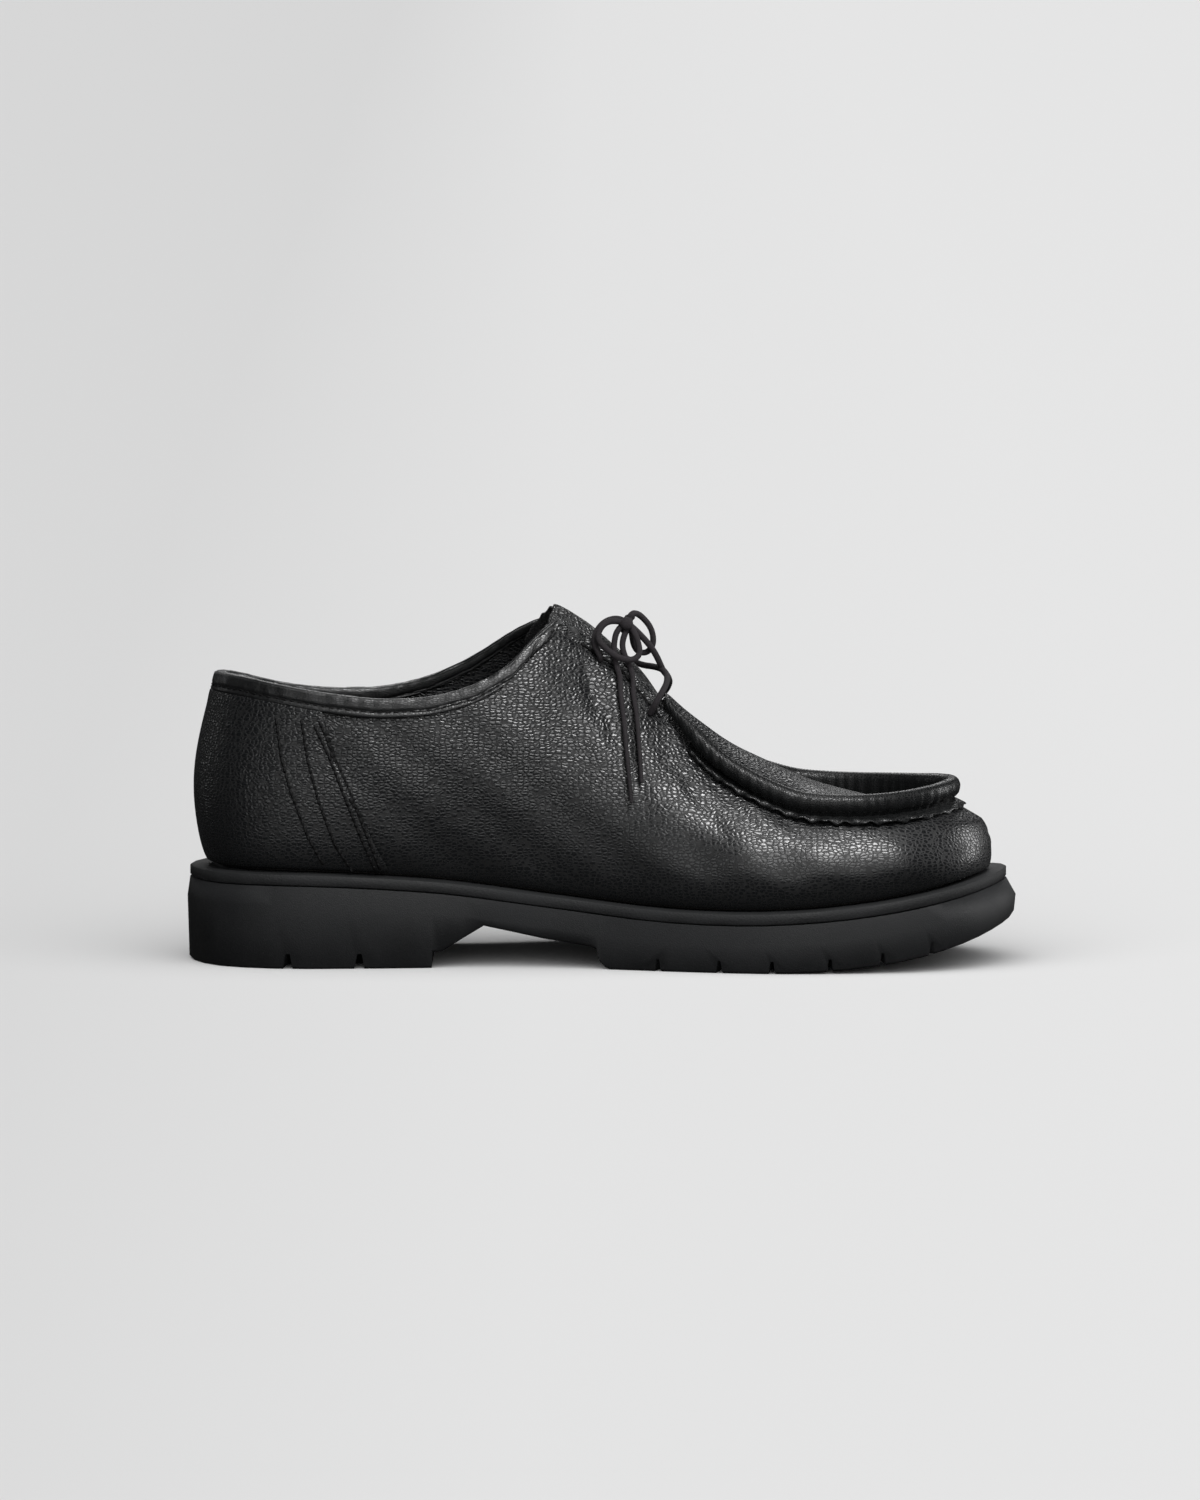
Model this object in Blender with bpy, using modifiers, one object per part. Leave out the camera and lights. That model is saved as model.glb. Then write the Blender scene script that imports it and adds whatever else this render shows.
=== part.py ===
"""Apron toe derby, left shoe: a lug sole, a midsole band, an insole, a hollow upper with
its apron seam, a counter, a bound topline, a tongue and a tied round lace.

The toe points to +X, the inner side of the foot to -Y, and the sole stands on Z = 0.
"""

import math
from collections import namedtuple

import bmesh
import bpy
from mathutils import Vector

# Driving dimensions, metres
LENGTH = 0.300              # outsole, heel to toe
GAP = 0.0003                # clearance between pieces that touch
WALL = 0.0020               # upper leather with its lining
COUNTER_THICK = 0.0010
FLANGE_THICK = 0.0014
TONGUE_THICK = 0.0018
LACE_WIDTH = 0.0028

# Every table is in millimetres of a 300 mm sole, measured from the middle of its length
MM = LENGTH / 300.0
GAP_MM = GAP / MM
MIDDLE_Y = 4.4              # the sole's middle across, in the tables' own y
INNER, OUTER = -1, 1        # the two sides of the foot

# Outsole seen from above at its widest: x, y of the inner side, y of the outer side
SOLE_OUTLINE = (
    (-150.0, 0.0, 0.0),
    (-140.0, -24.0, 24.0),
    (-118.0, -34.0, 34.0),
    (-85.0, -34.0, 35.5),
    (-45.0, -31.0, 41.5),
    (-5.0, -34.5, 51.0),
    (30.0, -43.5, 57.5),
    (60.0, -49.0, 57.5),
    (90.0, -48.7, 51.5),
    (115.0, -45.0, 42.5),
    (133.5, -35.0, 30.0),
    (145.2, -20.0, 14.0),
    (150.0, -3.0, -3.0),
)

# Top of the midsole along the foot: x, z
SOLE_TOP = (
    (-150.0, 34.2),
    (-100.0, 33.8),
    (-60.0, 31.2),
    (-20.0, 26.2),
    (20.0, 22.0),
    (50.0, 21.3),
    (90.0, 23.8),
    (125.0, 29.3),
    (150.0, 34.8),
)
MIDSOLE_THICK = 4.0
INSOLE_THICK = 3.5

# Underside of the outsole from the heel's front to the forefoot's rear: x, z
ARCH = (
    (-61.0, 0.0),
    (-60.8, 5.8),
    (-57.6, 5.9),
    (-42.4, 15.2),
    (-20.5, 10.6),
    (-8.4, 8.9),
    (-3.8, 8.0),
    (-2.0, 7.2),
    (-1.0, 3.0),
    (1.0, 0.8),
    (3.0, 0.0),
)
SPRING_START = 48.0
SPRING_RISE = 17.0
SPRING_POWER = 2.65
EDGE_ROUND = 0.8
EDGE_TAPER = 7.0            # the side draws in to the midsole above this

# Where the outline is cut into sections, beside the rows of ARCH
SOLE_STATIONS = (
    -148.6, -144.5, -138.0, -129.0, -118.0, -105.0, -92.0, -78.0, -68.0, -50.0, -32.0, -14.0,
    12.0, 24.0, 36.0, 48.0, 58.0, 68.0, 78.0, 88.0, 98.0, 107.0, 116.0, 124.0, 131.0, 137.0,
    142.0, 145.8, 148.6,
)

# Notches of the tread along each edge: x, width at the ground, width at the top, depth
NOTCHES = (
    (-113.0, 4.0, 1.6, 5.4),
    (-87.0, 4.0, 1.6, 5.4),
    (20.0, 2.6, 1.1, 4.5),
    (42.0, 2.6, 1.1, 4.5),
    (61.0, 2.6, 1.1, 4.5),
    (82.0, 2.6, 1.1, 4.5),
    (101.0, 2.6, 1.1, 4.5),
    (119.0, 2.6, 1.1, 4.5),
)
NOTCH_REACH = 15.0

# The upper's top edge. A row is a place along the foot on both sides:
# x, y inner, y outer, z inner, z outer, x of its foot on the sole, distance of that foot from
# the midsole's edge, bulge of the wall inner and outer, lean of the wall at the top inner and
# outer in degrees
COLLAR = (
    (-139.2, 0.0, 0.0, 103.3, 103.3, -150.0, 4.4, 6.5, 6.5, 76.0, 76.0),
    (-136.4, -9.5, 9.5, 103.4, 102.6, -147.0, 4.4, 5.5, 5.5, 77.0, 77.0),
    (-129.4, -18.0, 18.0, 103.0, 100.3, -138.0, 4.3, 4.0, 4.0, 80.0, 80.0),
    (-117.4, -25.0, 25.0, 101.0, 96.6, -124.0, 4.0, 3.0, 3.0, 84.0, 84.0),
    (-100.0, -29.0, 29.5, 98.2, 94.1, -103.0, 3.7, 3.0, 3.0, 86.0, 86.0),
    (-80.0, -30.5, 32.0, 96.1, 94.2, -82.0, 3.5, 4.0, 3.0, 86.0, 84.0),
    (-62.0, -30.0, 31.5, 96.8, 98.4, -63.0, 3.5, 5.0, 3.0, 84.0, 80.0),
    (-46.0, -28.0, 29.0, 100.9, 106.1, -47.0, 3.5, 6.0, 3.0, 80.0, 74.0),
    (-33.0, -24.5, 24.0, 108.2, 115.1, -35.0, 3.5, 6.0, 4.0, 74.0, 66.0),
    (-24.0, -19.0, 17.0, 118.2, 120.6, -27.0, 3.5, 6.0, 4.0, 68.0, 60.0),
    (-17.0, -12.5, 9.0, 126.8, 125.5, -21.0, 3.5, 6.0, 4.0, 62.0, 54.0),
)
FACING = (
    (-17.0, -12.5, 9.0, 126.8, 125.5, -21.0, 3.5, 6.0, 4.0, 62.0, 54.0),
    (-6.0, -11.5, 7.5, 119.0, 118.3, -9.0, 3.5, 6.0, 4.0, 60.0, 52.0),
    (9.0, -11.5, 7.0, 108.8, 108.3, 8.0, 3.5, 5.0, 4.0, 58.0, 50.0),
)
APRON_SEAM = (
    (23.5, -13.5, 8.5, 91.5, 90.2, 26.0, 3.5, 4.0, 4.0, 55.0, 46.0),
    (31.0, -17.5, 12.5, 81.4, 79.2, 35.0, 3.5, 3.5, 4.0, 52.0, 44.0),
    (39.0, -21.5, 17.5, 73.6, 71.6, 45.0, 3.5, 3.0, 3.5, 50.0, 42.0),
    (48.0, -25.2, 22.5, 67.3, 65.9, 55.0, 3.5, 3.0, 3.0, 47.0, 40.0),
    (58.0, -28.2, 27.0, 61.9, 61.5, 66.0, 3.5, 2.5, 3.0, 42.0, 38.0),
    (69.0, -30.2, 29.6, 57.5, 57.9, 78.0, 3.5, 2.5, 3.0, 38.0, 36.0),
    (81.0, -31.2, 30.0, 55.8, 56.4, 90.0, 3.7, 2.5, 2.5, 35.0, 34.0),
    (93.5, -30.5, 28.3, 55.2, 55.9, 103.0, 4.0, 2.5, 2.5, 33.0, 33.0),
    (105.0, -27.2, 24.0, 55.5, 56.1, 117.0, 4.3, 2.0, 2.0, 33.0, 33.0),
    (115.0, -21.0, 17.0, 56.4, 56.7, 131.0, 4.7, 1.5, 1.5, 34.0, 34.0),
    (122.5, -12.3, 7.8, 57.5, 57.6, 143.5, 5.0, 1.0, 1.0, 35.0, 35.0),
    (125.6, -3.0, -3.0, 58.1, 58.1, 150.0, 5.0, 0.5, 0.5, 36.0, 36.0),
)
FOOT_RISE = 8.0             # the wall turns in to the sole below this height
FEATHER_TUCK = 3.2          # how far it turns in
LOWER_HANDLE = 0.42         # length of the wall curve's handles, as a share of the wall
UPPER_HANDLE = 0.38

# The apron's ridge, from the throat to the toe: x, z
RIDGE = (
    (23.5, 97.6),
    (31.0, 90.2),
    (40.0, 83.4),
    (50.0, 77.2),
    (60.0, 71.8),
    (70.0, 67.0),
    (78.0, 63.0),
    (86.0, 59.7),
    (94.0, 58.0),
    (102.0, 57.2),
    (109.0, 57.2),
)
RIDGE_Y = -3.0

# How many sections and levels the upper has on each side
COLLAR_SECTIONS = 20
FACING_SECTIONS = 6
APRON_SECTIONS = 22
WALL_LEVELS = 5
APRON_LEVELS = 3

# The roll on the apron seam, and the wavy flange under it
ROLL_RADIUS = 3.3
ROLL_END_RADIUS = 1.7
ROLL_LIFT = 2.3
ROLL_END_LIFT = 0.4
ROLL_END_X = 22.0
ROLL_TAPER = 20.0
ROLL_POINTS = 59
FLANGE_START_X = 31.5
FLANGE_SECTIONS = 100
FLANGE_WAVE = 0.9
FLANGE_WAVES = 50
FLANGE_ROWS = (             # distance down the wall, height off it
    (0.2, 0.35),
    (3.0, 0.50),
    (6.0, 1.20),
)

# The counter over the heel: level on the wall, x of its front edge
COUNTER_ROWS = (
    (-0.80, -73.0),
    (0.0, -77.5),
    (0.2, -83.5),
    (0.4, -89.5),
    (0.6, -94.5),
    (0.8, -98.5),
    (0.89, -100.0),
)
COUNTER_LIFT = 0.4

# Section of the topline's binding: distance down the wall, distance out from its face
BINDING_SECTION = (
    (5.6, 1.05),
    (5.6, 0.30),
    (-0.3, 0.30),
    (-0.3, -2.30),
    (4.0, -2.30),
    (4.0, -3.05),
    (-0.5, -3.05),
    (-1.1, -2.30),
    (-1.1, 0.30),
    (-0.5, 1.05),
)

# Tongue, from under the apron to its free edge: x of its ridge, z of its ridge, x of its sides
# inner and outer, how far its sides lie inside the wall's face, how wide its bend is
TONGUE = (
    (29.0, 87.2, 30.0, 30.0, 2.8, 0.5),
    (24.0, 91.6, 24.5, 24.5, 2.8, 0.45),
    (19.0, 100.4, 18.5, 18.5, 2.8, 0.45),
    (14.0, 108.2, 12.5, 12.5, 2.9, 0.55),
    (6.5, 114.4, 4.5, 4.5, 3.2, 0.55),
    (-1.4, 120.6, -3.5, -4.5, 3.7, 0.5),
    (-8.0, 125.0, -9.5, -13.0, 4.6, 0.4),
    (-13.5, 128.0, -15.5, -25.0, 5.2, 0.3),
)
TONGUE_Y = -2.3
TONGUE_DEPTHS = (14.0, 8.0, 3.5)    # distance of its side rows below the upper's edge

# Lace. Its holes and the stretches that lie on the wall are given by side, x, z and height
# off the wall; the free stretches by x, y, z
LACE_RADIUS = LACE_WIDTH / MM / 2.0
LACE_REST = LACE_RADIUS + 0.5
LACE_STEP = 4.5
LOWER_HOLES = ((INNER, 17.2, 90.5), (OUTER, 17.2, 88.5))
UPPER_HOLES = ((INNER, -0.5, 110.0), (OUTER, -0.5, 109.0))
LACE_CROSSING = (21.8, -2.0, 105.2)
FIRST_BAR = (
    (20.6, -20.6, 96.8),
    (23.2, -15.0, 100.6),
    (23.8, -8.0, 103.4),
    LACE_CROSSING,
    (18.6, 3.2, 105.6),
    (14.6, 8.4, 105.6),
    (9.5, 12.0, 107.4),
    (4.5, 13.6, 109.4),
)
SECOND_BAR = (
    (22.0, 16.0, 94.0),
    (24.7, 10.0, 98.4),
    (24.2, 4.0, 101.8),
    LACE_CROSSING,
    (20.3, -3.6, 109.5),
    (16.6, -4.5, 115.2),
    (13.6, -5.2, 118.4),
    (10.6, -5.8, 121.4),
    (7.8, -6.6, 123.6),
    (4.9, -8.0, 124.6),
    (1.6, -9.8, 123.6),
    (-1.0, -11.6, 121.4),
    (-2.5, -13.4, 118.3),
    (-2.9, -14.6, 115.2),
)
KNOT = (9.0, -11.6, 122.6)
KNOT_RADII = (2.6, 2.2, 2.4)
NEAR_LOOP = (
    (5.7, -12.4, 123.6),
    (3.1, -13.4, 123.9),
    (0.7, -14.7, 122.8),
    (-0.9, -15.8, 120.6),
    (-1.6, -16.6, 117.9),
    (0.0, -17.4, 115.6),
    (2.7, -17.9, 113.2),
    (5.6, -17.8, 111.2),
    (8.9, -16.9, 110.0),
    (11.8, -15.6, 110.0),
    (13.6, -14.8, 111.4),
    (13.8, -14.0, 113.6),
    (13.2, -13.2, 116.3),
    (12.2, -12.8, 118.6),
    (11.6, -12.6, 119.6),
)
FAR_LOOP = (
    (10.8, -9.6, 126.2),
    (12.4, -6.5, 126.0),
    (14.0, -4.0, 124.9),
    (16.2, -2.6, 122.6),
    (18.0, -1.8, 119.9),
    (18.8, -1.4, 116.6),
    (18.6, -1.2, 113.8),
    (17.2, -1.2, 111.6),
    (15.2, -1.6, 110.8),
    (12.8, -3.2, 111.8),
    (11.6, -5.4, 114.2),
    (11.1, -7.4, 117.0),
    (11.1, -8.6, 118.9),
)
END_START = (
    ((8.6, -11.2, 119.3), (7.4, -11.8, 116.5), (7.6, -12.2, 113.0), (9.2, -13.2, 109.4)),
    ((5.4, -12.0, 120.5), (4.6, -12.4, 117.2), (4.4, -13.2, 113.2), (5.0, -15.1, 108.8)),
)
FRONT_END = ((10.8, 103.5), (10.5, 98.5), (11.9, 90.5), (12.7, 82.5), (13.5, 74.5), (14.3, 66.8))
REAR_END = ((5.9, 104.5), (6.2, 98.0), (7.6, 88.5), (8.6, 79.0), (9.8, 69.5), (11.0, 60.0))

Section = namedtuple("Section", "top foot_s inset bulge lean")


def smooth_table(rows):
    """The values of a table's columns between its rows, as a function of the first column."""
    keys = [row[0] for row in rows]
    last = len(rows) - 1

    def slope(i, column):
        below = max(i - 1, 0)
        above = min(i + 1, last)
        if below == i or above == i:
            return (rows[above][column] - rows[below][column]) / (keys[above] - keys[below])
        before = (rows[i][column] - rows[below][column]) / (keys[i] - keys[below])
        after = (rows[above][column] - rows[i][column]) / (keys[above] - keys[i])
        share = (keys[i] - keys[below]) / (keys[above] - keys[below])
        return before * (1.0 - share) + after * share

    def value(key):
        key = min(max(key, keys[0]), keys[-1])
        i = 0
        while i < last - 1 and keys[i + 1] < key:
            i += 1
        span = keys[i + 1] - keys[i]
        u = (key - keys[i]) / span
        found = []
        for column in range(1, len(rows[0])):
            start, end = rows[i][column], rows[i + 1][column]
            rise = slope(i, column) * span
            settle = slope(i + 1, column) * span
            found.append(
                start * (2 * u**3 - 3 * u**2 + 1) + rise * (u**3 - 2 * u**2 + u)
                + end * (3 * u**2 - 2 * u**3) + settle * (u**3 - u**2)
            )
        return found

    return value


def straight_table(rows, key):
    """The second column of a table between its rows, in straight lines."""
    for (start, low), (end, high) in zip(rows, rows[1:]):
        if key <= end:
            return low + (high - low) * max(key - start, 0.0) / (end - start)
    return rows[-1][1]


def smooth_step(value):
    value = min(max(value, 0.0), 1.0)
    return value * value * (3.0 - 2.0 * value)


def to_world(point):
    """From the tables' millimetres to metres, with the sole's middle at the origin."""
    return Vector((point[0], point[1] - MIDDLE_Y, point[2])) * MM


# Outline of the sole

def rounded_loop(corners, steps=24):
    """A closed curve through the corners, evenly eased between them."""
    count = len(corners)
    found = []
    for i in range(count):
        a, b, c, d = (Vector(corners[(i + k) % count]) for k in (-1, 0, 1, 2))
        ab, bc, cd = (math.sqrt((q - p).length) for p, q in ((a, b), (b, c), (c, d)))
        rise = (b - a) / ab - (c - a) / (ab + bc) + (c - b) / bc
        settle = (c - b) / bc - (d - b) / (bc + cd) + (d - c) / cd
        for step in range(steps):
            u = step / steps
            found.append(
                b * (2 * u**3 - 3 * u**2 + 1) + rise * bc * (u**3 - 2 * u**2 + u)
                + c * (3 * u**2 - 2 * u**3) + settle * bc * (u**3 - u**2)
            )
    return found


def outline_corners():
    outer_side = [(x, outer) for x, inner, outer in SOLE_OUTLINE]
    inner_side = [(x, inner) for x, inner, outer in SOLE_OUTLINE[-2:0:-1]]
    return outer_side + inner_side


RIM = rounded_loop(outline_corners())
RIM_S = [0.0]
for here, ahead in zip(RIM, RIM[1:] + RIM[:1]):
    RIM_S.append(RIM_S[-1] + (ahead - here).length)
RIM_LENGTH = RIM_S[-1]
TOE_INDEX = max(range(len(RIM)), key=lambda i: RIM[i].x)


def rim_point(s):
    """A point of the outline, s millimetres round it from the heel by the outer side."""
    s %= RIM_LENGTH
    low, high = 0, len(RIM)
    while high - low > 1:
        middle = (low + high) // 2
        if RIM_S[middle] <= s:
            low = middle
        else:
            high = middle
    share = (s - RIM_S[low]) / (RIM_S[low + 1] - RIM_S[low])
    return RIM[low].lerp(RIM[(low + 1) % len(RIM)], share)


def rim_outward(s, reach=1.5):
    along = (rim_point(s + reach) - rim_point(s - reach)).normalized()
    return Vector((-along.y, along.x))


def rim_s(x, side):
    """Where the outline has this x on the outer side, or, as a negative s, on the inner."""
    if side == OUTER:
        places = range(TOE_INDEX)
    else:
        places = range(TOE_INDEX, len(RIM))
    for i in places:
        start = RIM[i].x
        end = RIM[(i + 1) % len(RIM)].x
        if min(start, end) <= x <= max(start, end) and start != end:
            s = RIM_S[i] + (RIM_S[i + 1] - RIM_S[i]) * (x - start) / (end - start)
            return s if side == OUTER else s - RIM_LENGTH
    at_toe = x > 0.0
    if side == OUTER:
        return RIM_S[TOE_INDEX] if at_toe else 0.0
    return RIM_S[TOE_INDEX] - RIM_LENGTH if at_toe else 0.0


sole_top_at = smooth_table(SOLE_TOP)
ridge_at = smooth_table(RIDGE)


def sole_top(x):
    return sole_top_at(x)[0]


def ground(x):
    """Height of the outsole's underside."""
    if x <= ARCH[0][0]:
        return 0.0
    if x <= ARCH[-1][0]:
        return straight_table(ARCH, x)
    if x <= SPRING_START:
        return 0.0
    return SPRING_RISE * ((x - SPRING_START) / (150.0 - SPRING_START)) ** SPRING_POWER


def flare(x):
    """How far the outsole stands out past the midsole's edge."""
    return 1.0 + 2.5 * smooth_step((x - 90.0) / 60.0)


def outline_places():
    """The outline's sections, from the heel round by the outer side and back."""
    stations = sorted(SOLE_STATIONS + tuple(x for x, z in ARCH))
    outer_side = [rim_s(x, OUTER) for x in stations]
    inner_side = [rim_s(x, INNER) for x in reversed(stations)]
    return [0.0] + outer_side + [RIM_S[TOE_INDEX]] + inner_side


def outline_ring(inset_of, height_of):
    """A ring of the outline: inset_of and height_of are functions of x.

    The steps behind the forefoot's tread stay at their own x, whatever the inset.
    """
    ring = []
    for s in outline_places():
        edge = rim_point(s)
        point = edge - rim_outward(s) * inset_of(edge.x)
        x = edge.x if edge.x <= ARCH[-1][0] else point.x
        ring.append(Vector((point.x, point.y, height_of(x))))
    return ring


# Sections of the upper

def full_chain(rows):
    """A table's sections as one smooth line over both sides, outer side at positive keys.

    The first row lies in the shoe's middle, and the key runs along the top edge from it.
    """
    keys = [0.0]
    for here, ahead in zip(rows, rows[1:]):
        steps = []
        for y, z in ((1, 3), (2, 4)):
            start = Vector((here[0], here[y], here[z]))
            steps.append((Vector((ahead[0], ahead[y], ahead[z])) - start).length)
        keys.append(keys[-1] + sum(steps) / 2)
    chain = []
    for key, row in zip(keys, rows):
        for side in (INNER, OUTER):
            if side == INNER and key == 0.0:
                continue
            x, y, z = row[0], row[(3 + side) // 2], row[(7 + side) // 2]
            foot_s = rim_s(row[5], side)
            if foot_s < 0.0 and rows[0][0] > 0.0:
                foot_s += RIM_LENGTH
            bulge, lean = row[(15 + side) // 2], row[(19 + side) // 2]
            chain.append((side * key, x, y, z, foot_s, row[6], bulge, lean))
    chain.sort()
    return smooth_table(chain), keys


collar_at, COLLAR_KEYS = full_chain(COLLAR)
vamp_at, VAMP_KEYS = full_chain(tuple(reversed(FACING + APRON_SEAM)))
THROAT_KEY = VAMP_KEYS[len(APRON_SEAM) - 1]


def section(chain, key):
    x, y, z, foot_s, inset, bulge, lean = chain(key)
    return Section(Vector((x, y, z)), foot_s, inset, bulge, math.radians(lean))


def key_of_x(chain, keys, x, side):
    """Where a chain's top edge has this x on one side."""
    low, high = keys[0], keys[-1]
    rising = chain(high)[0] > chain(low)[0]
    for _ in range(40):
        middle = (low + high) / 2
        if (chain(side * middle)[0] < x) == rising:
            low = middle
        else:
            high = middle
    return side * (low + high) / 2


def wall_point(chain, key, level):
    """A point on the upper's face: level 1 is its top edge, 0 where it turns in, -1 its end."""
    place = section(chain, key)
    edge = rim_point(place.foot_s)
    out = rim_outward(place.foot_s)
    inset = flare(edge.x) + place.inset
    outward = out.to_3d()
    up = Vector((0.0, 0.0, 1.0))
    foot = edge.to_3d() - outward * inset
    foot.z = sole_top(foot.x) + FOOT_RISE
    if level < 0.0:
        end = foot - outward * FEATHER_TUCK
        end.z = sole_top(end.x) + GAP_MM
        return foot.lerp(end, -level)
    span = (place.top - foot).length
    lower = foot + outward * place.bulge + up * LOWER_HANDLE * (place.top.z - foot.z)
    rise = up * math.sin(place.lean) - outward * math.cos(place.lean)
    upper = place.top - rise * UPPER_HANDLE * span
    u, w = level, 1.0 - level
    return foot * w**3 + lower * 3 * u * w**2 + upper * 3 * u**2 * w + place.top * u**3


def wall_face(chain, key, level, lift=0.0):
    """A point at a height off the upper's face, with the face's outward direction."""
    here = wall_point(chain, key, level)
    along = wall_point(chain, key + 0.5, level) - wall_point(chain, key - 0.5, level)
    level_low, level_high = max(level - 0.02, -1.0), min(level + 0.02, 1.0)
    if level_low < 0.0 < level_high:
        level_low = 0.0
    rise = wall_point(chain, key, level_high) - wall_point(chain, key, level_low)
    outward = along.cross(rise).normalized()
    guide = rim_outward(section(chain, key).foot_s).to_3d()
    if outward.dot(guide) < 0.0:
        outward.negate()
    return here + outward * lift, outward, rise.normalized()


def level_below(chain, key, distance):
    """The level that lies this far down the wall from its top edge."""
    span = (section(chain, key).top - wall_point(chain, key, 0.0)).length
    return 1.0 - distance / (3.0 * UPPER_HANDLE * span)


def apron_point(key, share):
    """A point of the apron: share is 0 on its seam and 1 on its ridge."""
    seam = section(vamp_at, key).top
    first, last = RIDGE[0][0], RIDGE[-1][0]
    seam_first, seam_last = APRON_SEAM[0][0], APRON_SEAM[-1][0]
    x = first + (last - first) * (seam.x - seam_first) / (seam_last - seam_first)
    ridge = Vector((x, RIDGE_Y, ridge_at(x)[0]))
    point = seam.lerp(ridge, share)
    point.z = seam.z + (ridge.z - seam.z) * (1.0 - (1.0 - share) ** 2)
    return point


def spread(start, end, count):
    return [start + (end - start) * i / count for i in range(count)]


def upper_sections():
    """Every section of the upper, from the heel round by the outer side and back."""
    collar_end, vamp_end = COLLAR_KEYS[-1], VAMP_KEYS[-1]
    found = [(collar_at, key) for key in spread(0.0, collar_end, COLLAR_SECTIONS)]
    found += [(vamp_at, key) for key in spread(vamp_end, THROAT_KEY, FACING_SECTIONS)]
    found += [(vamp_at, key) for key in spread(THROAT_KEY, 0.0, APRON_SECTIONS)]
    found += [(vamp_at, key) for key in spread(0.0, -THROAT_KEY, APRON_SECTIONS)]
    found += [(vamp_at, key) for key in spread(-THROAT_KEY, -vamp_end, FACING_SECTIONS)]
    found += [(collar_at, key) for key in spread(-collar_end, 0.0, COLLAR_SECTIONS)]
    return found


# Meshes and objects

def clear_scene():
    for thing in list(bpy.data.objects):
        bpy.data.objects.remove(thing, do_unlink=True)


def new_collection(name):
    collection = bpy.data.collections.new(name)
    bpy.context.scene.collection.children.link(collection)
    return collection


def finish_of(name, colour, roughness):
    material = bpy.data.materials.new(name)
    material.use_nodes = True
    shader = material.node_tree.nodes["Principled BSDF"]
    shader.inputs["Base Color"].default_value = (*colour, 1.0)
    shader.inputs["Roughness"].default_value = roughness
    shader.inputs["Metallic"].default_value = 0.0
    return material


def add_object(collection, name, data, material):
    thing = bpy.data.objects.new(name, data)
    data.materials.append(material)
    collection.objects.link(thing)
    return thing


def mesh_from(name, points, faces):
    """A mesh of points in table millimetres, with points at one place merged."""
    mesh = bpy.data.meshes.new(name)
    mesh.from_pydata([to_world(point) for point in points], [], faces)
    shape = bmesh.new()
    shape.from_mesh(mesh)
    bmesh.ops.remove_doubles(shape, verts=shape.verts, dist=0.00002)
    shape.to_mesh(mesh)
    shape.free()
    mesh.shade_smooth()
    return mesh


def turn_faces_out(mesh):
    shape = bmesh.new()
    shape.from_mesh(mesh)
    bmesh.ops.recalc_face_normals(shape, faces=shape.faces)
    shape.to_mesh(mesh)
    shape.free()


def grid_faces(rows, columns, closed=False):
    """Faces of a grid whose points are listed row by row."""
    faces = []
    for row in range(rows - 1):
        for column in range(columns if closed else columns - 1):
            ahead = (column + 1) % columns
            low, high = row * columns, (row + 1) * columns
            faces.append((low + column, low + ahead, high + ahead, high + column))
    return faces


def ladder_faces(count, offset):
    """Rungs across a ring whose first point is the heel and whose middle point is the toe."""
    faces = [(offset, offset + 1, offset + count - 1)]
    for i in range(1, count // 2 - 1):
        faces.append((offset + i, offset + i + 1, offset + count - i - 1, offset + count - i))
    toe = count // 2
    faces.append((offset + toe - 1, offset + toe, offset + toe + 1))
    return faces


def stacked_solid(name, rings):
    """A closed solid of rings of the sole, from the lowest to the highest."""
    count = len(rings[0])
    points = [point for ring in rings for point in ring]
    faces = grid_faces(len(rings), count, closed=True)
    faces += ladder_faces(count, 0)
    faces += ladder_faces(count, count * (len(rings) - 1))
    mesh = mesh_from(name, points, faces)
    turn_faces_out(mesh)
    mesh.set_sharp_from_angle(angle=math.radians(40.0))
    return mesh


def thicken(thing, thickness, outward):
    wall = thing.modifiers.new("wall", "SOLIDIFY")
    wall.thickness = thickness
    wall.offset = 1.0 if outward else -1.0
    wall.use_even_offset = True
    return wall


def sheet(name, rows, flip=False):
    """An open sheet of rows of points, with its faces turned over on request."""
    points = [point for row in rows for point in row]
    mesh = mesh_from(name, points, grid_faces(len(rows), len(rows[0])))
    if flip:
        mesh.flip_normals()
    return mesh


def tube(collection, name, points, radius, material, radii=None):
    """A round cord or roll along the points, with capped ends."""
    curve = bpy.data.curves.new(name, "CURVE")
    curve.dimensions = "3D"
    curve.bevel_depth = radius * MM
    curve.bevel_resolution = 2
    curve.use_fill_caps = True
    spline = curve.splines.new("POLY")
    spline.points.add(len(points) - 1)
    for i, (node, point) in enumerate(zip(spline.points, points)):
        node.co = (*to_world(point), 1.0)
        if radii:
            node.radius = radii[i] / radius
    return add_object(collection, name, curve, material)


# Sole

def add_outsole(shoe, cutters, rubber):
    def under(x):
        return ground(x)

    def top(x):
        return sole_top(x) - MIDSOLE_THICK - GAP_MM

    rings = (
        outline_ring(lambda x: EDGE_ROUND + 0.6, under),
        outline_ring(lambda x: 0.6, lambda x: under(x) + EDGE_ROUND),
        outline_ring(lambda x: 0.0, lambda x: top(x) - EDGE_TAPER),
        outline_ring(flare, top),
    )
    outsole = add_object(shoe, "outsole", stacked_solid("outsole", rings), rubber)
    cut = outsole.modifiers.new("tread notches", "BOOLEAN")
    cut.operation = "DIFFERENCE"
    cut.object = add_notches(cutters)
    return outsole


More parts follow.
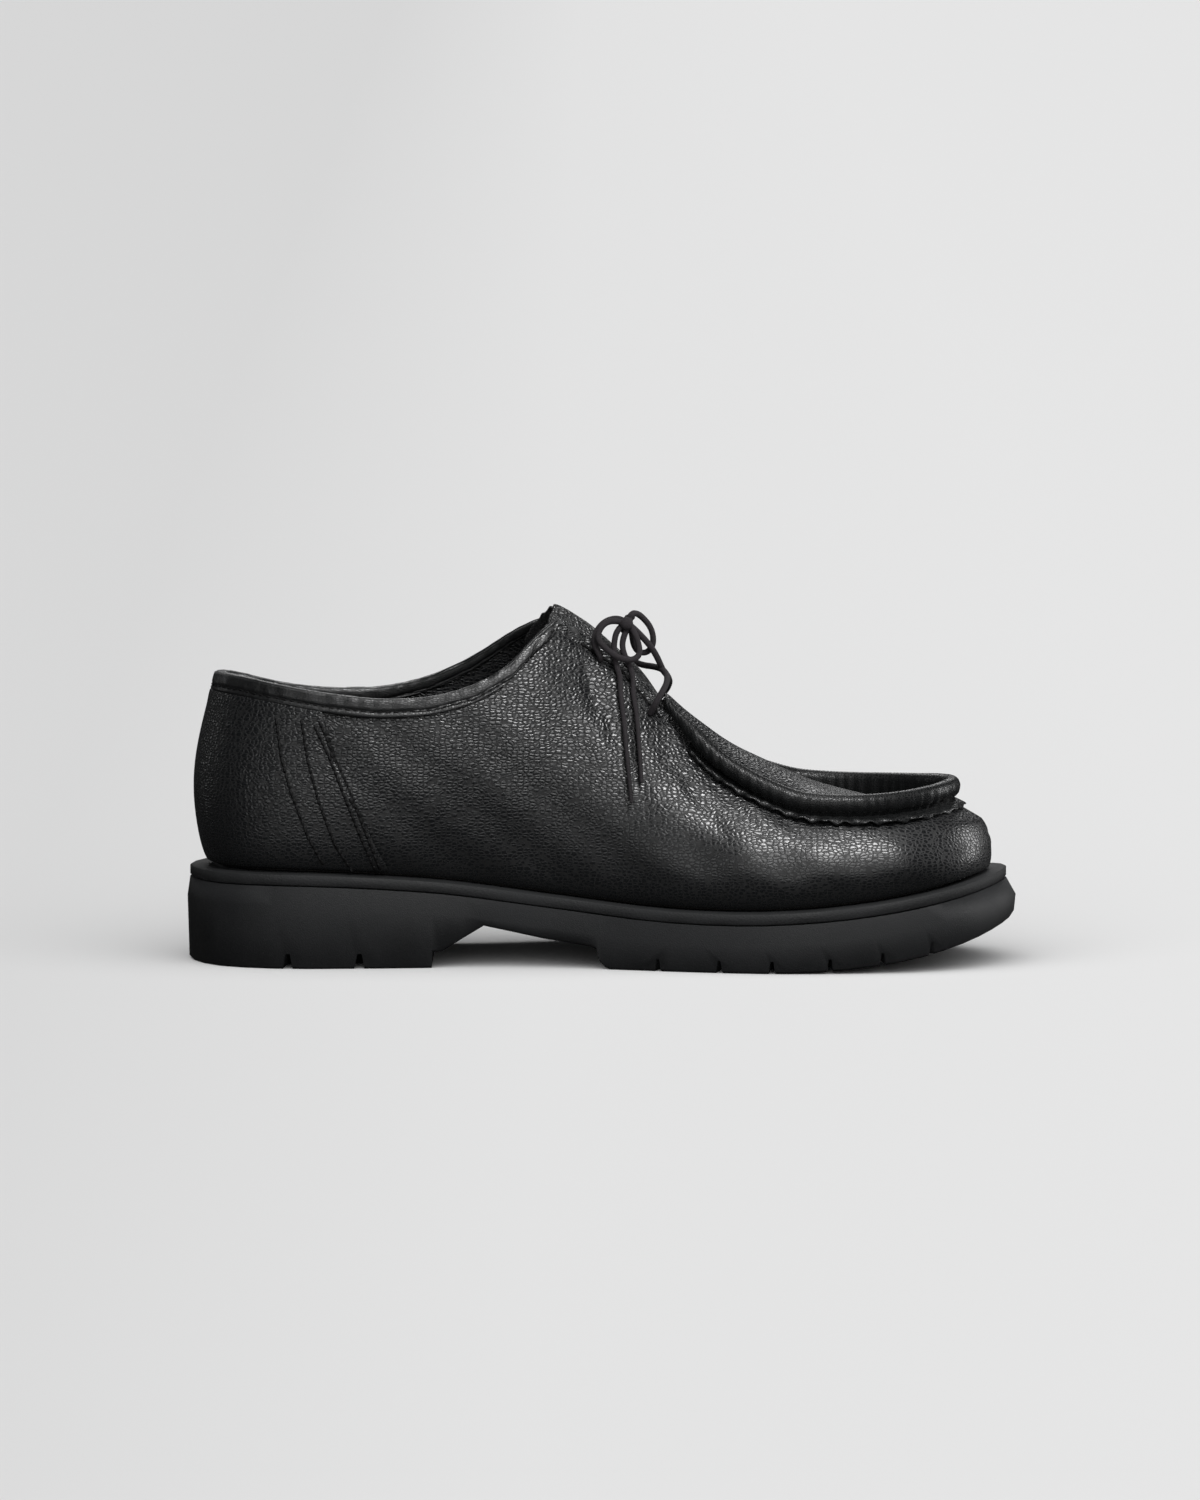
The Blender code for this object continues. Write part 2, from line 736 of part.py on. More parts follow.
def add_notches(cutters):
    """Wedges across the edge of the tread, on both sides."""
    shape = bmesh.new()
    for x, mouth, top, depth in NOTCHES:
        for side in (INNER, OUTER):
            s = rim_s(x, side)
            edge = rim_point(s)
            out = rim_outward(s)
            base = ground(x)
            wedge = bmesh.ops.create_cube(shape, size=1.0)["verts"]
            for corner in wedge:
                width = mouth if corner.co.z < 0.0 else top
                height = base - 1.0 if corner.co.z < 0.0 else base + depth
                reach = 3.0 if corner.co.x > 0.0 else -NOTCH_REACH
                across = math.copysign(width / 2, corner.co.y)
                place = edge + out * reach + Vector((-out.y, out.x)) * across
                corner.co = to_world((place.x, place.y, height))
    mesh = bpy.data.meshes.new("tread notch cutter")
    shape.to_mesh(mesh)
    shape.free()
    cutter = bpy.data.objects.new("tread notch cutter", mesh)
    cutter.hide_render = True
    cutter.display_type = "WIRE"
    cutters.objects.link(cutter)
    return cutter


def add_midsole(shoe, rubber):
    bottom = MIDSOLE_THICK
    rings = (
        outline_ring(lambda x: flare(x) + 0.4, lambda x: sole_top(x) - bottom),
        outline_ring(flare, lambda x: sole_top(x) - bottom + 0.4),
        outline_ring(flare, lambda x: sole_top(x) - 0.4),
        outline_ring(lambda x: flare(x) + 0.4, sole_top),
    )
    return add_object(shoe, "midsole", stacked_solid("midsole", rings), rubber)


def add_insole(shoe, leather):
    """The footbed, inside the turned-in edge of the upper."""
    sections = upper_sections()[::2]
    rings = []
    for inward, height in ((3.2, 0.0), (2.6, 0.6), (2.6, INSOLE_THICK - 0.6), (3.4, INSOLE_THICK)):
        ring = []
        for chain, key in sections:
            end = wall_point(chain, key, -1.0)
            out = rim_outward(section(chain, key).foot_s).to_3d()
            point = end - out * inward
            point.z = sole_top(point.x) + GAP_MM + height
            ring.append(point)
        rings.append(ring)
    return add_object(shoe, "insole", stacked_solid("insole", rings), leather)


# Upper

def add_upper(shoe, leather):
    """Walls and apron as one sheet, given its thickness towards the foot."""
    sections = upper_sections()
    levels = [-1.0] + [i / WALL_LEVELS for i in range(WALL_LEVELS + 1)]
    count = len(sections)
    points = [wall_point(chain, key, level) for level in levels for chain, key in sections]
    faces = grid_faces(len(levels), count, closed=True)
    apron_start = COLLAR_SECTIONS + FACING_SECTIONS
    apron = range(apron_start, apron_start + 2 * APRON_SECTIONS + 1)
    shares = [i / APRON_LEVELS for i in range(APRON_LEVELS + 1)]
    offset = len(points)
    for share in shares:
        points += [apron_point(sections[i][1], share) for i in apron]
    for face in grid_faces(len(shares), len(apron)):
        faces.append(tuple(offset + corner for corner in face))
    mesh = mesh_from("upper", points, faces)
    mesh.flip_normals()
    upper = add_object(shoe, "upper", mesh, leather)
    thicken(upper, WALL, outward=False)
    return upper


def add_apron_roll(shoe, leather):
    """The padded roll that the apron's edge is gathered over."""
    end = key_of_x(vamp_at, VAMP_KEYS, ROLL_END_X, OUTER)
    points, radii = [], []
    for i in range(ROLL_POINTS):
        key = end - 2.0 * end * i / (ROLL_POINTS - 1)
        top, wall_out, rise = wall_face(vamp_at, key, 1.0)
        inward = -rim_outward(section(vamp_at, key).foot_s).to_3d()
        if abs(key) < THROAT_KEY:
            across = (apron_point(key, 0.2) - top).normalized()
            along = wall_point(vamp_at, key + 0.5, 1.0) - wall_point(vamp_at, key - 0.5, 1.0)
            apron_out = along.cross(across).normalized()
            if apron_out.z < 0.0:
                apron_out.negate()
        else:
            apron_out = (inward + Vector((0.0, 0.0, 1.0))).normalized()
        share = smooth_step((end - abs(key)) / ROLL_TAPER)
        radius = ROLL_END_RADIUS + (ROLL_RADIUS - ROLL_END_RADIUS) * share
        lift = ROLL_END_LIFT + (ROLL_LIFT - ROLL_END_LIFT) * share
        away = (wall_out + apron_out).normalized()
        points.append(top + away * (radius + lift))
        radii.append(radius)
    return tube(shoe, "apron_roll", points, ROLL_RADIUS, leather, radii)


def add_seam_flange(shoe, leather):
    """The gathered edge of the vamp, which stands out below the roll in small waves."""
    end = key_of_x(vamp_at, VAMP_KEYS, FLANGE_START_X, OUTER)
    rows = []
    for i in range(FLANGE_SECTIONS + 1):
        turn = i / FLANGE_SECTIONS
        key = end - 2.0 * end * turn
        wave = math.cos(2.0 * math.pi * FLANGE_WAVES * turn)
        row = []
        for step, (distance, lift) in enumerate(FLANGE_ROWS):
            reach = distance + FLANGE_WAVE * wave * step / 2
            level = level_below(vamp_at, key, reach)
            row.append(wall_face(vamp_at, key, level, lift)[0])
        rows.append(row)
    flange = add_object(shoe, "seam_flange", sheet("seam_flange", rows, flip=True), leather)
    thicken(flange, FLANGE_THICK, outward=True)
    return flange


def add_heel_counter(shoe, leather):
    """The panel round the heel, stitched over the quarters. It keeps the upper's sections."""
    upper_keys = sorted(key for chain, key in upper_sections() if chain is collar_at)
    keys = None
    rows = []
    for level, front_x in COUNTER_ROWS:
        ends = [key_of_x(collar_at, COLLAR_KEYS, front_x, side) for side in (INNER, OUTER)]
        if keys is None:
            keys = [ends[0]] + [key for key in upper_keys if ends[0] < key < ends[1]] + [ends[1]]
        held = [min(max(key, ends[0]), ends[1]) for key in keys]
        rows.append([wall_face(collar_at, key, level, COUNTER_LIFT)[0] for key in held])
    counter = add_object(shoe, "heel_counter", sheet("heel_counter", rows, flip=True), leather)
    thicken(counter, COUNTER_THICK, outward=True)
    return counter


def add_topline_binding(shoe, leather):
    """The strip folded over the collar's edge."""
    end = COLLAR_KEYS[-1] - 0.6
    sections = 2 * COLLAR_SECTIONS + 2
    rings = []
    for i in range(sections + 1):
        key = -end + 2.0 * end * i / sections
        top, outward, rise = wall_face(collar_at, key, 1.0)
        rings.append([top - rise * down + outward * out for down, out in BINDING_SECTION])
    count = len(BINDING_SECTION)
    points = [point for ring in rings for point in ring]
    faces = grid_faces(len(rings), count, closed=True)
    faces.append(tuple(range(count)))
    faces.append(tuple(range(len(points) - count, len(points))))
    mesh = mesh_from("topline_binding", points, faces)
    turn_faces_out(mesh)
    return add_object(shoe, "topline_binding", mesh, leather)


# Tongue

def tongue_side(x, side, depth, inside):
    """A point of the tongue's side, under the facing or under the collar behind it."""
    if x > FACING[0][0]:
        chain, key = vamp_at, key_of_x(vamp_at, VAMP_KEYS, x, side)
    else:
        chain, key = collar_at, key_of_x(collar_at, COLLAR_KEYS, x, side)
    level = level_below(chain, key, depth)
    return wall_face(chain, key, level, -inside)[0]


def tongue_arch(shoulder, crest, width, share):
    """From the shoulder up to the ridge in a round bend."""
    drop = crest.z - shoulder.z
    bend = Vector((crest.x, crest.y + (shoulder.y - crest.y) * width, crest.z - 0.05 * drop))
    rest = 1.0 - share
    return shoulder * rest**2 + bend * 2 * share * rest + crest * share**2


def add_tongue(shoe, leather):
    rows = []
    for ridge_x, ridge_z, inner_x, outer_x, inside, width in TONGUE:
        crest = Vector((ridge_x, TONGUE_Y, ridge_z))
        halves = []
        for side, side_x in ((INNER, inner_x), (OUTER, outer_x)):
            half = [tongue_side(side_x, side, depth, inside) for depth in TONGUE_DEPTHS]
            half += [tongue_arch(half[-1], crest, width, share) for share in (0.35, 0.7)]
            halves.append(half)
        rows.append(halves[0] + [crest] + halves[1][::-1])
    mesh = sheet("tongue", rows)
    tongue = add_object(shoe, "tongue", mesh, leather)
    thicken(tongue, TONGUE_THICK, outward=False)
    return tongue


# Lace

def on_wall(side, x, z, lift):
    """A point at a height off the vamp's wall that has this x and z."""
    reach = x
    for _ in range(4):
        key = key_of_x(vamp_at, VAMP_KEYS, reach, side)
        low, high = 0.0, 1.0
        for _ in range(24):
            level = (low + high) / 2
            if wall_point(vamp_at, key, level).z < z:
                low = level
            else:
                high = level
        reach += x - wall_point(vamp_at, key, level).x
    return wall_face(vamp_at, key, level, lift)[0]


def cord_line(points):
    """Points every few millimetres along one smooth curve through the given ones."""
    rows = [(0.0, *points[0])]
    for here, ahead in zip(points, points[1:]):
        rows.append((rows[-1][0] + (Vector(ahead) - Vector(here)).length, *ahead))
    line = smooth_table(rows)
    steps = max(2, round(rows[-1][0] / LACE_STEP))
    return [Vector(line(rows[-1][0] * i / steps)) for i in range(steps + 1)]


def curve_to_mesh(thing):
    """A tube as one welded mesh object, so that it can take a Boolean."""
    graph = bpy.context.evaluated_depsgraph_get()
    mesh = bpy.data.meshes.new_from_object(thing.evaluated_get(graph))
    shape = bmesh.new()
    shape.from_mesh(mesh)
    bmesh.ops.remove_doubles(shape, verts=shape.verts, dist=0.00001)
    shape.to_mesh(mesh)
    shape.free()
    name = thing.name
    solid = bpy.data.objects.new(name, mesh)
    solid.matrix_world = thing.matrix_world
    thing.users_collection[0].objects.link(solid)
    bpy.data.objects.remove(thing)
    solid.name = name
    return solid


def add_lace_bars(shoe, cutters, cord):
    """The two lengths that cross over the throat, as one solid."""
    lower = [on_wall(*hole, LACE_REST) for hole in LOWER_HOLES]
    upper = [on_wall(*hole, LACE_REST) for hole in UPPER_HOLES]
    first = [lower[0], *FIRST_BAR, upper[1]]
    second = [lower[1], *SECOND_BAR, upper[0]]
    bars = curve_to_mesh(tube(shoe, "lace_bars", cord_line(first), LACE_RADIUS, cord))
    crossing = tube(cutters, "lace crossing", cord_line(second), LACE_RADIUS, cord)
    crossing = curve_to_mesh(crossing)
    crossing.hide_render = True
    crossing.display_type = "WIRE"
    join = bars.modifiers.new("crossing", "BOOLEAN")
    join.operation = "UNION"
    join.object = crossing
    return bars


def add_lace_bow(shoe, cord):
    """Knot, two loops and two hanging ends."""
    shape = bmesh.new()
    bmesh.ops.create_uvsphere(shape, u_segments=12, v_segments=8, radius=1.0)
    for corner in shape.verts:
        spot = Vector(corner.co[i] * KNOT_RADII[i] + KNOT[i] for i in range(3))
        corner.co = to_world(spot)
    mesh = bpy.data.meshes.new("lace_knot")
    shape.to_mesh(mesh)
    shape.free()
    mesh.shade_smooth()
    add_object(shoe, "lace_knot", mesh, cord)
    tube(shoe, "lace_loop_near", cord_line(NEAR_LOOP), LACE_RADIUS, cord)
    tube(shoe, "lace_loop_far", cord_line(FAR_LOOP), LACE_RADIUS, cord)
    hanging = (("lace_end_front", END_START[0], FRONT_END), ("lace_end_rear", END_START[1], REAR_END))
    for name, start, places in hanging:
        route = [*start, *(on_wall(INNER, x, z, LACE_REST) for x, z in places)]
        tube(shoe, name, cord_line(route), LACE_RADIUS, cord)


def build():
    clear_scene()
    shoe = new_collection("apron_toe_derby")
    cutters = new_collection("cutters")
    rubber = finish_of("sole rubber", (0.018, 0.019, 0.021), 0.75)
    band = finish_of("midsole rubber", (0.022, 0.023, 0.025), 0.8)
    footbed = finish_of("insole leather", (0.03, 0.028, 0.027), 0.7)
    upper_leather = finish_of("upper leather", (0.010, 0.011, 0.012), 0.42)
    roll_leather = finish_of("roll leather", (0.010, 0.011, 0.012), 0.40)
    flange_leather = finish_of("flange leather", (0.010, 0.011, 0.012), 0.48)
    counter_leather = finish_of("counter leather", (0.010, 0.011, 0.012), 0.42)
    binding_leather = finish_of("binding leather", (0.012, 0.013, 0.014), 0.5)
    tongue_leather = finish_of("tongue leather", (0.012, 0.013, 0.014), 0.5)
    add_outsole(shoe, cutters, rubber)
    add_midsole(shoe, band)
    add_insole(shoe, footbed)
    add_upper(shoe, upper_leather)
    add_apron_roll(shoe, roll_leather)
    add_seam_flange(shoe, flange_leather)
    add_heel_counter(shoe, counter_leather)
    add_topline_binding(shoe, binding_leather)
    add_tongue(shoe, tongue_leather)
    add_lace_bars(shoe, cutters, finish_of("lace cord", (0.014, 0.012, 0.014), 0.85))
    add_lace_bow(shoe, finish_of("bow cord", (0.014, 0.012, 0.014), 0.85))


build()
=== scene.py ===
import math

import bpy
from mathutils import Matrix, Vector
from mathutils.bvhtree import BVHTree


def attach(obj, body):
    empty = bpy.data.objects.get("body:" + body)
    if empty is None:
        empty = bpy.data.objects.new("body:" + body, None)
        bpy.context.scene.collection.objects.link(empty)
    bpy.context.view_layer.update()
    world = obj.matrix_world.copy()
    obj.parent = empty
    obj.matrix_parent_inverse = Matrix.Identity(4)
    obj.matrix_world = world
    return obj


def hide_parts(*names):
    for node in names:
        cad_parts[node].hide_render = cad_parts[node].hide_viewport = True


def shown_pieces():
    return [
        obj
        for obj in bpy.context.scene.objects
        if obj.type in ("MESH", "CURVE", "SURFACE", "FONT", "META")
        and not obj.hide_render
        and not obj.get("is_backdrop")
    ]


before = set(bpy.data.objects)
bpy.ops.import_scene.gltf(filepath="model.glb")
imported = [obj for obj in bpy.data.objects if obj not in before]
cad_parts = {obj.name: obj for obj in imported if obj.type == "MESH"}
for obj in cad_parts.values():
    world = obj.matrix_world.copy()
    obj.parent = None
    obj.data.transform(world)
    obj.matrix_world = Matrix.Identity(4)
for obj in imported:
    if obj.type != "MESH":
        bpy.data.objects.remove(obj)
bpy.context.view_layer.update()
scene = bpy.context.scene


# Camera
# The shoe is seen from its inner side, from a long way off and a little above.
CAMERA_AIM = Vector((-0.00054, -0.0044, 0.0755))
CAMERA_DISTANCE = 4.0
CAMERA_RISE = math.radians(6.4)
SENSOR_MM = 36.0
FRAME_WIDTH = 0.4343            # what the photograph spans at the shoe, in metres

away = Vector((0.0, -math.cos(CAMERA_RISE), math.sin(CAMERA_RISE)))
bpy.ops.object.camera_add(location=CAMERA_AIM + CAMERA_DISTANCE * away,
                          rotation=(math.pi / 2 - CAMERA_RISE, 0.0, 0.0))
camera = bpy.context.object
camera.name = "camera"
camera.data.sensor_fit = "HORIZONTAL"
camera.data.sensor_width = SENSOR_MM
camera.data.lens = SENSOR_MM * CAMERA_DISTANCE / FRAME_WIDTH
camera.data.clip_end = 50.0
scene.camera = camera


# Outsole
# One moulded black rubber sole with a heel, an open arch and notches round its tread.
# Its sides are matt, with a fine stipple from the mould.
def select_only(thing):
    bpy.ops.object.select_all(action="DESELECT")
    thing.select_set(True)
    bpy.context.view_layer.objects.active = thing


MERGE_DISTANCE = 0.00002        # corners closer than this are one


def copy_of(node_name, name, quads=True):
    """A merged copy of a CAD node's mesh, for finishing."""
    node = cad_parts[node_name]
    thing = node.copy()
    thing.data = node.data.copy()
    thing.name = thing.data.name = name
    thing.parent = None
    thing.matrix_world = node.matrix_world
    scene.collection.objects.link(thing)
    thing.data.materials.clear()
    select_only(thing)
    bpy.ops.object.transform_apply(location=True, rotation=True, scale=True)
    bpy.ops.object.mode_set(mode="EDIT")
    bpy.ops.mesh.select_all(action="SELECT")
    bpy.ops.mesh.remove_doubles(threshold=MERGE_DISTANCE)
    if quads:
        bpy.ops.mesh.tris_convert_to_quads(face_threshold=math.radians(40),
                                           shape_threshold=math.radians(50))
    bpy.ops.object.mode_set(mode="OBJECT")
    return thing


def apply_modifier(thing, kind, **settings):
    select_only(thing)
    modifier = thing.modifiers.new(kind.lower(), kind)
    for key, value in settings.items():
        setattr(modifier, key, value)
    bpy.ops.object.modifier_apply(modifier=modifier.name)


def smooth_by_angle(thing, degrees):
    select_only(thing)
    bpy.ops.object.shade_smooth_by_angle(angle=math.radians(degrees))


def smooth(thing):
    select_only(thing)
    bpy.ops.object.shade_smooth()


def new_material(name, roughness, specular=0.5):
    material = bpy.data.materials.new(name)
    material.use_nodes = True
    shader = material.node_tree.nodes["Principled BSDF"]
    shader.inputs["Roughness"].default_value = roughness
    shader.inputs["Specular IOR Level"].default_value = specular
    return material, shader


def add_node(tree, kind, values=(), **settings):
    node = tree.nodes.new(kind)
    for key, value in settings.items():
        setattr(node, key, value)
    for socket, value in dict(values).items():
        if hasattr(value, "is_output"):
            tree.links.new(value, node.inputs[socket])
        else:
            node.inputs[socket].default_value = value
    return node


def math_node(tree, operation, *values):
    return add_node(tree, "ShaderNodeMath", dict(enumerate(values)), operation=operation).outputs[0]


def bump(tree, shader, height, strength, distance):
    made = add_node(tree, "ShaderNodeBump",
                    {"Height": height, "Strength": strength, "Distance": distance})
    tree.links.new(made.outputs["Normal"], shader.inputs["Normal"])


def colour_ramp(tree, value, stops):
    """stops is a list of (place, (r, g, b))."""
    ramp = add_node(tree, "ShaderNodeValToRGB", {"Fac": value})
    points = ramp.color_ramp.elements
    while len(points) < len(stops):
        points.new(0.5)
    for point, (place, colour) in zip(points, stops):
        point.position = place
        point.color = (*colour, 1.0)
    return ramp.outputs["Color"]


def map_range(tree, value, low, high, to_low, to_high):
    return add_node(tree, "ShaderNodeMapRange",
                    {"Value": value, "From Min": low, "From Max": high,
                     "To Min": to_low, "To Max": to_high}).outputs["Result"]


CLOUD_SCALE = 45.0              # size of a rubber's slow changes of shade
STIPPLE_DEPTH = 0.0003


def rubber_material(name, dark, pale, stipple_scale, stipple, roughness):
    """Matt and finely stippled, with slow changes of shade and of gloss."""
    material, shader = new_material(name, roughness, specular=0.35)
    tree = material.node_tree
    place = add_node(tree, "ShaderNodeTexCoord").outputs["Object"]
    cloud = add_node(tree, "ShaderNodeTexNoise",
                     {"Vector": place, "Scale": CLOUD_SCALE, "Detail": 4.0})
    tree.links.new(colour_ramp(tree, cloud.outputs["Fac"], [(0.3, dark), (0.7, pale)]),
                   shader.inputs["Base Color"])
    grit = add_node(tree, "ShaderNodeTexNoise",
                    {"Vector": place, "Scale": stipple_scale, "Detail": 2.0})
    bump(tree, shader, grit.outputs["Fac"], stipple, STIPPLE_DEPTH)
    gloss = map_range(tree, cloud.outputs["Fac"], 0.3, 0.7, roughness - 0.06, roughness + 0.08)
    tree.links.new(gloss, shader.inputs["Roughness"])
    return material


def finish_piece(thing, material, slot, *replaced):
    thing.data.materials.clear()
    thing.data.materials.append(material)
    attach(thing, "root")
    if replaced:
        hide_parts(*replaced)


sole_rubber = rubber_material("sole_rubber", (0.0036, 0.0040, 0.0046), (0.0058, 0.0062, 0.0070),
                              2600.0, 0.35, 0.62)
WALL_TILT = 0.45                # a wall's normal rises no more than this
SHADE_ANGLE = 35                # edges sharper than this stay sharp, in degrees
RIM_STEP = 0.0005


def limited(share):
    return min(1.0, max(0.0, share))


def plan_of(thing):
    """A sole layer's top rim from above: its points in order, each with its outward normal."""
    rims = [set(), set()]
    for face in thing.data.polygons:
        if abs(face.normal.z) < WALL_TILT:
            rims[0].update(face.vertices)
        elif face.normal.z > 0:
            rims[1].update(face.vertices)
    points = [thing.data.vertices[i].co.to_2d() for i in rims[0] & rims[1]]
    points = sorted(points, key=lambda spot: math.atan2(spot.y, spot.x))
    points = [spot for spot, last in zip(points, points[-1:] + points)
              if (spot - last).length > RIM_STEP]
    plan = []
    for last, point, following in zip(points[-1:] + points, points, points[1:] + points[:1]):
        run = (point - last).normalized() + (following - point).normalized()
        plan.append((point, Vector((run.y, -run.x)).normalized()))
    return plan


def even_walls(thing, plan):
    """Shades a sole layer's walls by the plan, so that the notches don't pull at them."""
    normals = [corner.vector.copy() for corner in thing.data.corner_normals]
    for face in thing.data.polygons:
        if abs(face.normal.z) > WALL_TILT:
            continue
        for i in face.loop_indices:
            spot = thing.data.vertices[thing.data.loops[i].vertex_index].co.to_2d()
            best = 1.0
            for (a, start), (b, end) in zip(plan, plan[1:] + plan[:1]):
                share = limited((spot - a).dot(b - a) / (b - a).length_squared)
                gap = (spot - a - (b - a) * share).length
                if gap < best:
                    best, outward = gap, start.lerp(end, share).normalized()
            if face.normal.to_2d().normalized().dot(outward) > 0.5:
                tilt = normals[i].z
                normals[i] = Vector((*(outward * math.sqrt(1.0 - tilt * tilt)), tilt))
    thing.data.normals_split_custom_set(normals)


outsole = copy_of("outsole", "outsole_rubber", quads=False)
midsole = copy_of("midsole", "midsole_rubber", quads=False)
SOLE_PLAN = plan_of(midsole)    # its rim shades the walls of both layers
smooth_by_angle(outsole, SHADE_ANGLE)
even_walls(outsole, SOLE_PLAN)
finish_piece(outsole, sole_rubber, "sole_rubber", "outsole")


# Midsole
# A thin band of rubber between the leather and the outsole, flush with the outsole's wall and
# textured like a cut edge.
band_rubber = rubber_material("midsole_rubber", (0.0036, 0.0039, 0.0043), (0.0085, 0.0090, 0.0098),
                              1500.0, 0.6, 0.7)
smooth_by_angle(midsole, SHADE_ANGLE)
even_walls(midsole, SOLE_PLAN)
finish_piece(midsole, band_rubber, "midsole_band", "midsole")


# Insole
# A leather footbed that covers the inside of the sole. Little of it shows, so its grain is fine
# and its finish plain.
PEBBLE_ROUNDING = 1.9           # higher gives flatter tops and steeper sides
PEBBLE_REACH = 0.42             # where a pebble's top is reached, as a share of its width
PEBBLE_SCATTER = 0.72           # how irregular the pebbles are
PEBBLE_UNEVEN = 0.18            # how much their heights differ
VALLEY = (0.02, 0.16)           # where a valley's mask is full and where it ends
DRIFT = 0.35                    # scale of the warp, as a share of the grain's
FINENESS = 4.0                  # scale of the fine grain, as a share of the pebbles'


def pebble_grain():
    """Rounded pebbles with narrow valleys: their height from 0 to 1, and the valleys' mask, which
    gives painted shade and rougher leather in the valleys.
    """
    group = bpy.data.node_groups.new("pebble_grain", "ShaderNodeTree")
    sockets = group.interface
    sockets.new_socket(name="Vector", in_out="INPUT", socket_type="NodeSocketVector")
    for name in ("Scale", "Warp", "Fine"):
        sockets.new_socket(name=name, in_out="INPUT", socket_type="NodeSocketFloat")
    for name in ("Height", "Valley"):
        sockets.new_socket(name=name, in_out="OUTPUT", socket_type="NodeSocketFloat")
    given = group.nodes.new("NodeGroupInput").outputs
    drift = add_node(group, "ShaderNodeTexNoise", {"Vector": given["Vector"], "Detail": 1.0,
                     "Scale": math_node(group, "MULTIPLY", given["Scale"], DRIFT)}).outputs["Color"]
    centred = add_node(group, "ShaderNodeVectorMath", {0: drift, 1: (0.5, 0.5, 0.5)},
                       operation="SUBTRACT").outputs["Vector"]
    reach = math_node(group, "DIVIDE", given["Warp"], given["Scale"])
    moved = add_node(group, "ShaderNodeVectorMath", {0: centred, "Scale": reach},
                     operation="SCALE").outputs["Vector"]
    spot = add_node(group, "ShaderNodeVectorMath", {0: given["Vector"], 1: moved},
                    operation="ADD").outputs["Vector"]
    shape_of = {"Vector": spot, "Scale": given["Scale"], "Randomness": PEBBLE_SCATTER}
    cells = add_node(group, "ShaderNodeTexVoronoi", shape_of)
    edges = add_node(group, "ShaderNodeTexVoronoi", shape_of,
                     feature="DISTANCE_TO_EDGE").outputs["Distance"]
    hollow = map_range(group, edges, 0.0, PEBBLE_REACH, 1.0, 0.0)
    dome = math_node(group, "SUBTRACT", 1.0, math_node(group, "POWER", hollow, PEBBLE_ROUNDING))
    valley = map_range(group, edges, *VALLEY, 1.0, 0.0)
    chance = add_node(group, "ShaderNodeSeparateColor",
                      {"Color": cells.outputs["Color"]}).outputs["Red"]
    uneven = math_node(group, "MULTIPLY", chance, PEBBLE_UNEVEN)
    fine = add_node(group, "ShaderNodeTexNoise", {"Vector": given["Vector"], "Detail": 2.0,
                    "Scale": math_node(group, "MULTIPLY", given["Scale"], FINENESS)}).outputs["Fac"]
    height = math_node(group, "ADD", math_node(group, "ADD", dome, uneven),
                       math_node(group, "MULTIPLY", fine, given["Fine"]))
    done = group.nodes.new("NodeGroupOutput")
    group.links.new(height, done.inputs["Height"])
    group.links.new(valley, done.inputs["Valley"])
    return group


PEBBLES = pebble_grain()


def leather_material(name, dark, pale, roughness, scale, depth, stretch=(0.68, 1.0, 1.15),
                     warp=0.7, fine=0.06, smooth_below=None, specular=0.5):
    """Pebbled leather, its valleys painted darker as painted shade. smooth_below is two heights and
    the grain's share at the lower one.
    """
    material, shader = new_material(name, roughness, specular=specular)
    tree = material.node_tree
    place = add_node(tree, "ShaderNodeTexCoord").outputs["Object"]
    stretched = add_node(tree, "ShaderNodeMapping",
                         {"Vector": place, "Scale": stretch}).outputs["Vector"]
    grain = add_node(tree, "ShaderNodeGroup", node_tree=PEBBLES)
    tree.links.new(stretched, grain.inputs["Vector"])
    grain.inputs["Scale"].default_value = scale
    grain.inputs["Warp"].default_value = warp
    grain.inputs["Fine"].default_value = fine
    height = grain.outputs["Height"]
    if smooth_below:
        rise = add_node(tree, "ShaderNodeSeparateXYZ", {"Vector": place}).outputs["Z"]
        share = map_range(tree, rise, smooth_below[0], smooth_below[1], smooth_below[2], 1.0)
        height = math_node(tree, "MULTIPLY", height, share)
    bump(tree, shader, height, 1.0, depth)
    valley = grain.outputs["Valley"]
    # Painted shade: the valleys get the dark colour and the pebble tops the pale one.
    tree.links.new(colour_ramp(tree, valley, [(0.2, pale), (0.8, dark)]),
                   shader.inputs["Base Color"])
    tree.links.new(map_range(tree, valley, 0.1, 0.8, roughness, roughness + 0.35),
                   shader.inputs["Roughness"])
    return material


insole = copy_of("insole", "insole_footbed", quads=False)
smooth_by_angle(insole, SHADE_ANGLE)
footbed_leather = leather_material("footbed_leather", (0.012, 0.011, 0.010),
                                   (0.020, 0.018, 0.017), 0.6, 1400.0, 0.00003)
finish_piece(insole, footbed_leather, "insole_leather", "insole")


# Upper
# Quarters, vamp and apron of black pebbled leather, 2 mm thick. It is creased softly below the
# throat and beside the knot, where it was pulled over the last.
COLLAR_TOP = (                  # x, inner y, outer y, inner z, outer z of the topline
    (-0.1392, -0.0044, -0.0044, 0.1033, 0.1033), (-0.1364, -0.0139, 0.0051, 0.1034, 0.1026),
    (-0.1294, -0.0224, 0.0136, 0.1030, 0.1003), (-0.1174, -0.0294, 0.0206, 0.1010, 0.0966),
    (-0.1000, -0.0334, 0.0251, 0.0982, 0.0941), (-0.0800, -0.0349, 0.0276, 0.0961, 0.0942),
    (-0.0620, -0.0344, 0.0271, 0.0968, 0.0984), (-0.0460, -0.0324, 0.0246, 0.1009, 0.1061),
    (-0.0330, -0.0289, 0.0196, 0.1082, 0.1151), (-0.0240, -0.0234, 0.0126, 0.1182, 0.1206),
    (-0.0170, -0.0169, 0.0046, 0.1268, 0.1255))
